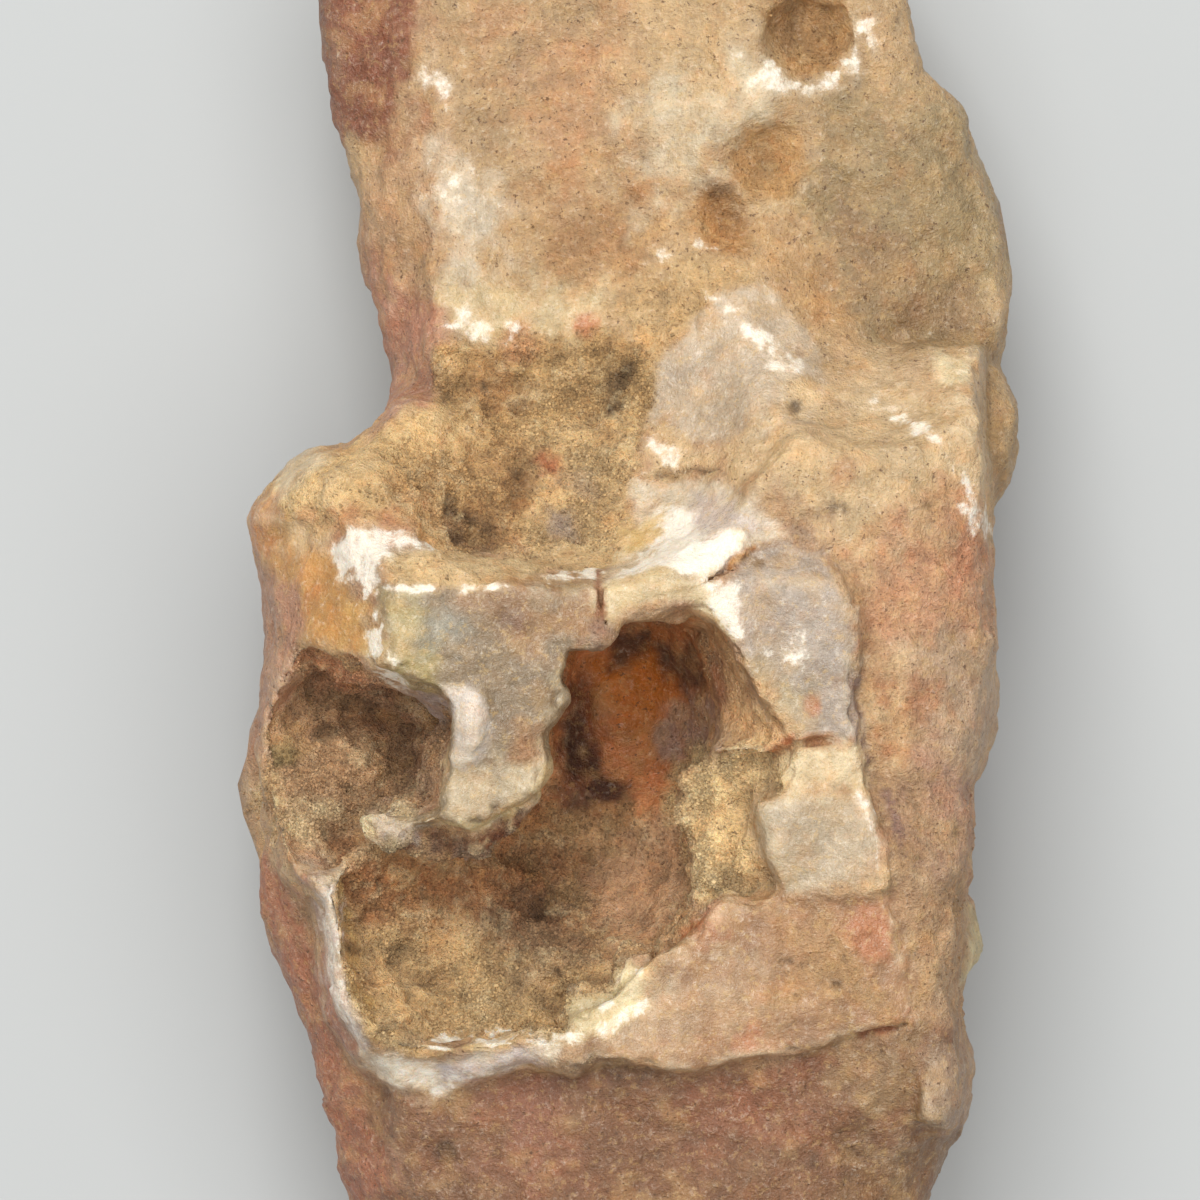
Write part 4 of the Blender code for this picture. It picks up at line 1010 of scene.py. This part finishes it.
for number, (colour, kind, cover, border, *heights, outline) in enumerate(ZONES):
    chosen = within(outline, 1.5 * border + 6.0)
    aside = outline_distance(*sheet[chosen].T, list(outline)) + fray[chosen]
    aside += (border - 5.0) * blotches[number % 3][chosen]
    share = (1.0 - eased_step(aside, -border / 2, border / 2)) * seen[chosen]
    lay(chosen, colour, kind, cover * share * between(chosen, *(heights or [USUAL_HEIGHTS])))
for number, (colour, kind, cover, width, *heights, path) in enumerate(LINES):
    chosen = within(path, 2.0 * width + 6.0)
    aside = outline_distance(*sheet[chosen].T, list(path), closed=False)
    aside += fray[chosen] + 0.8 * width * blotches[number % 3][chosen]
    share = (1.0 - eased_step(aside, width * 0.2, width)) * eased_step(broken[chosen], -0.7, 0.1)
    share = cover * share * seen[chosen]
    lay(chosen, colour, kind, share * between(chosen, *(heights or [USUAL_HEIGHTS])))
for colour, middle, size in IRON_SPOTS:
    chosen = within([middle], 2.0 * size)
    away = np.hypot(*(sheet[chosen] - middle).T) + 0.9 * size * blotches[0][chosen]
    lay(chosen, colour, None, SPOT_COVER * (1.0 - eased_step(away, size * 0.2, size)) * seen[chosen])
for middle, size in CLOTS:
    chosen = within([middle], 2.5 * size)
    away = np.hypot(*(sheet[chosen] - middle).T) + 1.1 * size * blotches[1][chosen]
    lay(chosen, CLOT_BROWN, None, CLOT_COVER * (1.0 - eased_step(away, size * 0.2, size)) * seen[chosen])
sandy, waxy, chalk_and_glint, specked = finish.T

# Fine relief: packed crumbs in the sandy crust, small chipped planes and low waves on the clean breaks
CRUMB_SIZE = 1.1
SMALL_CRUMB_SIZE = 0.52
CHIP_SIZE = 2.4
CRUMB_DEPTH = 0.58
CREASE_DEPTH = 0.34
EDGE_CHIP_DEPTH = 0.5
CHIPPED_FROM, CHIPPED_ABOVE = 14.0, 18.0
SMOOTH_FOOT, ROUGH_ABOVE = 0.2, 1.6
crumb, _ = nearest_seed(points, CRUMB_SIZE, 51)
small_crumb, small_lean = nearest_seed(points, SMALL_CRUMB_SIZE, 52)
_, chip_lean = nearest_seed(points, CHIP_SIZE, 54)
crumb_height = 0.42 * (0.6 - crumb) + 0.46 * (0.55 - small_crumb) + 0.30 * wander(points, 1.9, 53)
crumb_height += 0.26 * wander(points, 0.75, 60) - 0.45 * eased_step(wander(points, 1.0, 61), 0.45, 1.0)
chip_height = 0.14 * chip_lean + 0.05 * small_lean
chip_height = chip_height + 0.10 * wander(points, 1.3, 55) + 0.05 * wander(points, 0.5, 56)
creases = 0.30 - np.abs(wander(points, 1.1, 64)) - 0.5 * np.abs(wander(points, 0.5, 65))
relief = sandy * (CRUMB_DEPTH * crumb_height + CREASE_DEPTH * creases) + (1.0 - sandy) * chip_height
chipped = np.clip(layered(points, (1.0, 0.8, 66), (0.6, 0.4, 67)), 0.0, 1.0)
chipped = EDGE_CHIP_DEPTH * np.clip(bulge - 0.25, 0.0, 1.0) * chipped
relief -= chipped * eased_step(points[:, 2], CHIPPED_FROM, CHIPPED_ABOVE)
relief *= eased_step(points[:, 2], SMOOTH_FOOT, ROUGH_ABOVE)
points = points + facing * relief[:, None]

# Painted shade darkens the hollows and crumb pits, and a painted highlight with some pale wear lightens the
# edges
BROAD_REACH = 1.0
PAINTED_SHADE_COVER = 0.55
EDGE_HIGHLIGHT_AND_WEAR_COVER = 0.42
VEIL_COVER = 0.30
PALE_COVER = 0.35
CLEAN_SHADE = 0.72
WARMTH = (0.98, 0.97, 0.92)
whole = np.arange(len(points))
_, broad_bulge = slope_and_bend(stone, AXES, points, BROAD_REACH)
broad_bulge = np.clip(broad_bulge / np.percentile(np.abs(broad_bulge), 95), -1.0, 1.0)
# Painted shade: brown darkening in concave places and in the pits between crumbs
painted_shade = np.clip(-0.7 * bulge - 0.5 * broad_bulge - 1.0 * sandy * crumb_height, 0.0, 1.0)
# Painted highlight with some pale wear: lighter paint on the convex edges
edge_highlight_and_wear = np.clip(bulge + 0.5 * broad_bulge - 0.2, 0.0, 1.0) * np.clip(0.6 + broken, 0.0, 1.0)
lay(whole, PAINTED_SHADE_BROWN, None, PAINTED_SHADE_COVER * painted_shade * (0.30 + 0.70 * sandy))
lay(whole, EDGE_HIGHLIGHT_AND_WEAR, None, EDGE_HIGHLIGHT_AND_WEAR_COVER * edge_highlight_and_wear * seen * (0.3 + 0.7 * waxy))
# A tan veil of crust in patches over the clean stone, and pale crumbs in the sandy crust
veil = eased_step(layered(points, (1.0, 1.2, 62), (0.8, 0.5, 63)), 0.25, 1.1)
lay(whole, TAN_VEIL, None, VEIL_COVER * veil * seen * (1.0 - chalk_and_glint))
lay(whole, PALE_CRUMB, None, PALE_COVER * sandy * eased_step(small_lean + crumb_height, 0.25, 0.7))
tint *= (1.0 + 0.11 * wander(points, 0.8, 58) + 0.07 * wander(points, 2.6, 59))[:, None]
# Light sinks into clean stone, so its paint is darker than that of sand and chalk
tint *= (CLEAN_SHADE + (1.0 - CLEAN_SHADE) * np.maximum(sandy, chalk_and_glint))[:, None] * np.array(WARMTH)
tint = np.clip(tint, 0.0, 1.0)


def mesh_object(name, points, faces, material):
    """A smooth-shaded object with its place in its mesh, from points in millimetres."""
    mesh = bpy.data.meshes.new(name)
    mesh.from_pydata((points * MM).tolist(), [], faces.tolist())
    mesh.update()
    mesh.shade_smooth()
    mesh.materials.append(material)
    made = bpy.data.objects.new(name, mesh)
    bpy.context.scene.collection.objects.link(made)
    return made


def give_values(mesh, name, values):
    """Stores one number, or one colour, for each point of a mesh."""
    if values.ndim == 1:
        kept = mesh.attributes.new(name, "FLOAT", "POINT")
        kept.data.foreach_set("value", values.astype(np.float32))
        return
    colours = np.concatenate([values, np.ones((len(values), 1))], 1).astype(np.float32)
    kept = mesh.attributes.new(name, "FLOAT_COLOR", "POINT")
    kept.data.foreach_set("color", colours.reshape(-1))


def plain_base(mesh):
    """Makes the flat base one face, cut into triangles."""
    shape = bmesh.new()
    shape.from_mesh(mesh)
    flat = [face for face in shape.faces if all(corner.co.z == 0.0 for corner in face.verts)]
    bmesh.ops.delete(shape, geom=flat, context="FACES")
    rim = [edge for edge in shape.edges if edge.is_boundary]
    made = bmesh.ops.contextual_create(shape, geom=rim)
    bmesh.ops.triangulate(shape, faces=made["faces"])
    bmesh.ops.recalc_face_normals(shape, faces=shape.faces)
    shape.to_mesh(mesh)
    shape.free()


def thinned(made, hidden, kept):
    """Merges the small faces where the stone is hidden, until a share of all its faces is kept."""
    group = made.vertex_groups.new(name="hidden")
    group.add(np.flatnonzero(hidden).tolist(), 1.0, "REPLACE")
    thinning = made.modifiers.new("thinned", "DECIMATE")
    thinning.vertex_group = group.name
    thinning.ratio = kept
    fine = made.data
    evaluated = made.evaluated_get(bpy.context.evaluated_depsgraph_get())
    made.data = bpy.data.meshes.new_from_object(evaluated)
    made.modifiers.clear()
    made.vertex_groups.clear()
    bpy.data.meshes.remove(fine)


def node(tree, kind, **settings):
    made = tree.nodes.new(kind)
    for name, value in settings.items():
        setattr(made, name, value)
    return made


def set_or_link(tree, socket, value):
    if isinstance(value, bpy.types.NodeSocket):
        tree.links.new(value, socket)
    else:
        socket.default_value = value


def noise(tree, coordinates, size, detail, roughness=0.6, distortion=0.0):
    """A noise texture with bumps about one size across, in millimetres."""
    made = node(tree, "ShaderNodeTexNoise")
    for name, value in (("Scale", 1.0 / (size * MM)), ("Detail", detail), ("Roughness", roughness),
                        ("Distortion", distortion), ("Vector", coordinates)):
        set_or_link(tree, made.inputs[name], value)
    return made.outputs["Fac"]


def ramp(tree, value, low, high, to_low=0.0, to_high=1.0):
    made = node(tree, "ShaderNodeMapRange")
    names = ("Value", "From Min", "From Max", "To Min", "To Max")
    for name, setting in zip(names, (value, low, high, to_low, to_high)):
        set_or_link(tree, made.inputs[name], setting)
    return made.outputs["Result"]


def arithmetic(tree, operation, a, b):
    made = node(tree, "ShaderNodeMath", operation=operation)
    set_or_link(tree, made.inputs[0], a)
    set_or_link(tree, made.inputs[1], b)
    return made.outputs["Value"]


def product(tree, a, b):
    return arithmetic(tree, "MULTIPLY", a, b)


def total_of(tree, a, b):
    return arithmetic(tree, "ADD", a, b)


def scaled(tree, value, least, most):
    """A value from 0 to 1, brought between two limits."""
    return ramp(tree, value, 0.0, 1.0, least, most)


def swing(tree, texture, reach):
    """A noise texture, brought from -reach to reach."""
    return ramp(tree, texture, 0.3, 0.7, -reach, reach)


def mixed(tree, share, a, b, blend="MIX"):
    made = node(tree, "ShaderNodeMix", data_type="RGBA", blend_type=blend)
    set_or_link(tree, made.inputs[0], share)
    set_or_link(tree, made.inputs[6], a)
    set_or_link(tree, made.inputs[7], b)
    return made.outputs[2]


def stored(tree, name, output="Fac"):
    return node(tree, "ShaderNodeAttribute", attribute_name=name).outputs[output]


def paint(red, green, blue):
    return (*paint_value(red, green, blue), 1.0)


# Sizes of the stone's patterns and depths of its finest relief and of its glow, in millimetres
WARM_PATCH = 1.5
MOTTLE = 0.6
GRAIN = 0.14
CRUST_PATCH = 0.36
FROST_PATCH = 0.30
CLOT_SPECK = 0.26
BUMP_DEPTH = 0.15
GLOW_DEPTH = 0.9
# How it bends light, and the colours of its patches, crust, frost, specks and chalk, which in places is a
# painted glint
QUARTZ_IOR = 1.54
PINKER = (1.10, 0.86, 0.68, 1.0)
COOLER = (1.05, 1.06, 1.16, 1.0)
CRUST_TAN = (208, 172, 112)
FROST_WHITE = (242, 230, 210)
SPECK_BROWN = (92, 62, 36)
CHALK_AND_GLINT_WHITE = (238, 230, 214)


def chalcedony():
    """Waxy chalcedony under chalk, partly painted glint, and sandy crust, coloured by the stone's own
    values.
    """
    material = bpy.data.materials.new("chalcedony")
    material.use_nodes = True
    tree = material.node_tree
    shader = tree.nodes["Principled BSDF"]
    coordinates = node(tree, "ShaderNodeTexCoord").outputs["Object"]
    sand = stored(tree, "sandy")
    wax = stored(tree, "waxy")
    speck = stored(tree, "specked")

    warm = noise(tree, coordinates, WARM_PATCH, 3.0, 0.7)
    mottle = noise(tree, coordinates, MOTTLE, 4.0, 0.7)
    grain = noise(tree, coordinates, GRAIN, 2.0, 0.8)
    colour = stored(tree, "tint", "Color")
    pinker = mixed(tree, 1.0, colour, PINKER, "MULTIPLY")
    cooler = mixed(tree, 1.0, colour, COOLER, "MULTIPLY")
    colour = mixed(tree, ramp(tree, warm, 0.50, 0.72, 0.0, 0.6), colour, pinker)
    colour = mixed(tree, ramp(tree, warm, 0.48, 0.30, 0.0, 0.5), colour, cooler)
    mottle_depth = product(tree, swing(tree, mottle, 1.0), scaled(tree, sand, 0.13, 0.30))
    grain_depth = product(tree, swing(tree, grain, 1.0), scaled(tree, sand, 0.10, 0.30))
    strength = total_of(tree, total_of(tree, mottle_depth, grain_depth), 1.0)
    colour = mixed(tree, 1.0, colour, strength, "MULTIPLY")

    crust = noise(tree, coordinates, CRUST_PATCH, 4.0, 0.75)
    crust_share = product(tree, ramp(tree, crust, 0.55, 0.63), scaled(tree, wax, 0.18, 0.36))
    colour = mixed(tree, crust_share, colour, paint(*CRUST_TAN))
    frost = noise(tree, coordinates, FROST_PATCH, 3.0, 0.8)
    frost_share = product(tree, ramp(tree, frost, 0.54, 0.72), scaled(tree, wax, 0.10, 0.28))
    colour = mixed(tree, frost_share, colour, paint(*FROST_WHITE))
    clot = noise(tree, coordinates, CLOT_SPECK, 2.0, 0.8)
    clot_share = product(tree, ramp(tree, clot, 0.61, 0.70, 0.0, 1.1), speck)
    colour = mixed(tree, clot_share, colour, paint(*SPECK_BROWN))
    # Chalk white, partly real chalk and partly painted glints along the top edges
    chalk_and_glint_edge = total_of(tree, stored(tree, "chalk_and_glint"), swing(tree, mottle, 0.4))
    chalk_and_glint_share = ramp(tree, chalk_and_glint_edge, 0.34, 0.80, 0.0, 0.9)
    chalk_and_glint_share = product(tree, chalk_and_glint_share, ramp(tree, frost, 0.35, 0.60, 0.5, 1.0))
    colour = mixed(tree, chalk_and_glint_share, colour, paint(*CHALK_AND_GLINT_WHITE))
    tree.links.new(colour, shader.inputs["Base Color"])

    rough = total_of(tree, scaled(tree, sand, 0.42, 0.95), swing(tree, grain, 0.15))
    rough = arithmetic(tree, "SUBTRACT", rough, scaled(tree, wax, 0.0, 0.12))
    tree.links.new(rough, shader.inputs["Roughness"])
    shader.inputs["IOR"].default_value = QUARTZ_IOR
    shader.inputs["Subsurface Weight"].default_value = 0.30
    shader.inputs["Subsurface Radius"].default_value = (1.0, 0.66, 0.42)
    shader.inputs["Subsurface Scale"].default_value = GLOW_DEPTH * MM

    lift = total_of(tree, product(tree, grain, 1.2), product(tree, mottle, 2.0))
    lift = product(tree, lift, scaled(tree, sand, 0.3, 1.8))
    bump = node(tree, "ShaderNodeBump")
    bump.inputs["Distance"].default_value = BUMP_DEPTH * MM
    bump.inputs["Strength"].default_value = 1.0
    tree.links.new(lift, bump.inputs["Height"])
    tree.links.new(bump.outputs["Normal"], shader.inputs["Normal"])
    return material


agate_material = chalcedony()
agate = mesh_object("agate_stone", points, faces, agate_material)
give_values(agate.data, "tint", tint)
for name, values in (("sandy", sandy), ("waxy", waxy), ("chalk_and_glint", chalk_and_glint), ("specked", specked)):
    give_values(agate.data, name, values)
ROOF_END = 590
HIDDEN_BELOW = 10.0
FACES_KEPT = 0.67
clumps = eased_step(layered(points, (1.0, 1.6, 61), (0.5, 0.6, 62)), -0.5, 0.6)
loose = np.clip(sandy - 0.45, 0.0, 1.0) * clumps * eased_step(height, 8.0, 12.0)
loose *= eased_step(facing[:, 2], -0.1, 0.3)
in_hollow = loose * (sheet[:, 1] > ROOF_END)
on_roof = loose * (sheet[:, 1] <= ROOF_END)
give_values(agate.data, "hollow_sand", in_hollow)
give_values(agate.data, "roof_sand", on_roof)
thinned(agate, points[:, 2] < HIDDEN_BELOW, FACES_KEPT)
plain_base(agate.data)
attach(agate, "root")
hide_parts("agate")


# Sand in the hollows
# Loose crumbs of silica and clay that washed into the hollows and stuck there. They lie strewn over the
# sandy crust, thickest where it is roughest, and each is a small lump of its own.

CRUMB_LUMP = (1.7, 1.7, 1.7)
LEAST_SQUASHED = (0.6, 0.6, 0.5)
MOST_SQUASHED = (1.4, 1.2, 1.0)
DARKEST, PALEST = 0.42, 0.92
SAND_GLOW = 0.4
SAND_GRAIN = 0.12


def strewn(density_name, crumbs_per_square_metre, smallest, largest, seed, material):
    """A Geometry Nodes tree that strews crumbs over a surface by one of its stored values."""
    tree = bpy.data.node_groups.new(density_name, "GeometryNodeTree")
    face = tree.interface
    face.new_socket("Surface", in_out="INPUT", socket_type="NodeSocketGeometry")
    sizes = (("Crumbs per square metre", "NodeSocketFloat", crumbs_per_square_metre),
             ("Smallest", "NodeSocketFloat", smallest), ("Largest", "NodeSocketFloat", largest),
             ("Seed", "NodeSocketInt", seed))
    for name, kind, value in sizes:
        face.new_socket(name, in_out="INPUT", socket_type=kind).default_value = value
    face.new_socket("Crumbs", in_out="OUTPUT", socket_type="NodeSocketGeometry")
    given = node(tree, "NodeGroupInput").outputs
    result = node(tree, "NodeGroupOutput")
    link = tree.links.new

    density = node(tree, "GeometryNodeInputNamedAttribute", data_type="FLOAT")
    density.inputs["Name"].default_value = density_name
    often = node(tree, "ShaderNodeMath", operation="MULTIPLY")
    link(density.outputs["Attribute"], often.inputs[0])
    link(given["Crumbs per square metre"], often.inputs[1])
    scatter = node(tree, "GeometryNodeDistributePointsOnFaces", distribute_method="RANDOM")
    link(given["Surface"], scatter.inputs["Mesh"])
    link(often.outputs[0], scatter.inputs["Density"])
    link(given["Seed"], scatter.inputs["Seed"])

    shade = node(tree, "FunctionNodeRandomValue", data_type="FLOAT")
    shade.inputs[2].default_value = DARKEST
    shade.inputs[3].default_value = PALEST
    keep = node(tree, "GeometryNodeStoreNamedAttribute", data_type="FLOAT", domain="POINT")
    keep.inputs["Name"].default_value = "shade"
    link(scatter.outputs["Points"], keep.inputs["Geometry"])
    link(shade.outputs[1], keep.inputs["Value"])

    lump = node(tree, "GeometryNodeMeshCube")
    lump.inputs["Size"].default_value = CRUMB_LUMP
    turn = node(tree, "FunctionNodeRandomValue", data_type="FLOAT_VECTOR")
    turn.inputs[1].default_value = (math.tau, math.tau, math.tau)
    width = node(tree, "FunctionNodeRandomValue", data_type="FLOAT")
    link(given["Smallest"], width.inputs[2])
    link(given["Largest"], width.inputs[3])
    squash = node(tree, "FunctionNodeRandomValue", data_type="FLOAT_VECTOR")
    squash.inputs[0].default_value = LEAST_SQUASHED
    squash.inputs[1].default_value = MOST_SQUASHED
    for number, chooser in enumerate((shade, turn, width, squash)):
        chooser.inputs["Seed"].default_value = seed + number
    size = node(tree, "ShaderNodeVectorMath", operation="SCALE")
    link(squash.outputs[0], size.inputs[0])
    link(width.outputs[1], size.inputs["Scale"])
    place = node(tree, "GeometryNodeInstanceOnPoints")
    link(keep.outputs["Geometry"], place.inputs["Points"])
    link(lump.outputs["Mesh"], place.inputs["Instance"])
    link(turn.outputs[0], place.inputs["Rotation"])
    link(size.outputs[0], place.inputs["Scale"])
    real = node(tree, "GeometryNodeRealizeInstances")
    link(place.outputs["Instances"], real.inputs["Geometry"])
    coat = node(tree, "GeometryNodeSetMaterial")
    coat.inputs["Material"].default_value = material
    link(real.outputs["Geometry"], coat.inputs["Geometry"])
    link(coat.outputs["Geometry"], result.inputs["Crumbs"])
    return tree


def sand():
    """Dull sandy crumbs, each a little darker or paler than the crust it lies on."""
    material = bpy.data.materials.new("sand")
    material.use_nodes = True
    tree = material.node_tree
    shader = tree.nodes["Principled BSDF"]
    coordinates = node(tree, "ShaderNodeTexCoord").outputs["Object"]
    fine = ramp(tree, noise(tree, coordinates, SAND_GRAIN, 3.0), 0.3, 0.7, 0.8, 1.2)
    strength = product(tree, stored(tree, "shade"), fine)
    colour = mixed(tree, 1.0, stored(tree, "tint", "Color"), strength, "MULTIPLY")
    tree.links.new(colour, shader.inputs["Base Color"])
    shader.inputs["Roughness"].default_value = 0.9
    shader.inputs["Subsurface Weight"].default_value = 0.15
    shader.inputs["Subsurface Radius"].default_value = (1.0, 0.6, 0.35)
    shader.inputs["Subsurface Scale"].default_value = SAND_GLOW * MM
    return material


sand_material = sand()
# Each bed of sand: name, crumbs per square metre, smallest and largest in millimetres, seed
STREWN = (("hollow_sand", 130e6, 0.03, 0.085, 5), ("roof_sand", 150e6, 0.03, 0.08, 11))
for name, often, smallest, largest, seed in STREWN:
    bed = bpy.data.objects.new(name + "_bed", agate.data)
    bpy.context.scene.collection.objects.link(bed)
    strewing = bed.modifiers.new("strewn", "NODES")
    strewing.node_group = strewn(name, often, smallest * MM, largest * MM, seed, sand_material)
    evaluated = bed.evaluated_get(bpy.context.evaluated_depsgraph_get())
    crumbs = bpy.data.meshes.new_from_object(evaluated)
    bed.modifiers.remove(strewing)
    bpy.data.objects.remove(bed)
    crumbs.name = name
    for unused in ("sandy", "waxy", "chalk_and_glint", "specked", "hollow_sand", "roof_sand"):
        if unused in crumbs.attributes:
            crumbs.attributes.remove(crumbs.attributes[unused])
    grit = bpy.data.objects.new(name, crumbs)
    bpy.context.scene.collection.objects.link(grit)
    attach(grit, "root")


# The ground and the light
# A plain pale surface, and soft studio light that comes mostly from above the stone's upper end.

GROUND_HALF = 1.0
GROUND_GREY = (0.462, 0.474, 0.470, 1.0)
WHITE = (1.0, 1.0, 1.0, 1.0)
ROOM_LIGHT = 0.48
LIT_POINT = (0.0, 0.0, 0.015)


def pale_ground():
    material = bpy.data.materials.new("pale_ground")
    material.use_nodes = True
    shader = material.node_tree.nodes["Principled BSDF"]
    shader.inputs["Base Color"].default_value = GROUND_GREY
    shader.inputs["Roughness"].default_value = 0.95
    shader.inputs["Specular IOR Level"].default_value = 0.1
    return material


ground_corners = np.array([(-1, -1, 0), (1, -1, 0), (1, 1, 0), (-1, 1, 0)]) * GROUND_HALF / MM
ground = mesh_object("ground", ground_corners, np.array([(0, 1, 2, 3)]), pale_ground())


def soft_light(name, place, size, power):
    light = bpy.data.lights.new(name, "AREA")
    light.size = size
    light.energy = power
    made = bpy.data.objects.new(name, light)
    made.location = place
    made.rotation_euler = (Vector(LIT_POINT) - Vector(place)).to_track_quat("-Z", "Y").to_euler()
    bpy.context.scene.collection.objects.link(made)


soft_light("window", place=(-0.13, 0.45, 0.66), size=0.34, power=3.6)
soft_light("overhead", place=(0.04, 0.02, 0.85), size=0.80, power=5.4)

world = bpy.data.worlds.new("room")
world.use_nodes = True
room = world.node_tree.nodes["Background"]
room.inputs["Color"].default_value = WHITE
room.inputs["Strength"].default_value = ROOM_LIGHT
bpy.context.scene.world = world
bpy.context.scene.view_settings.view_transform = "Standard"
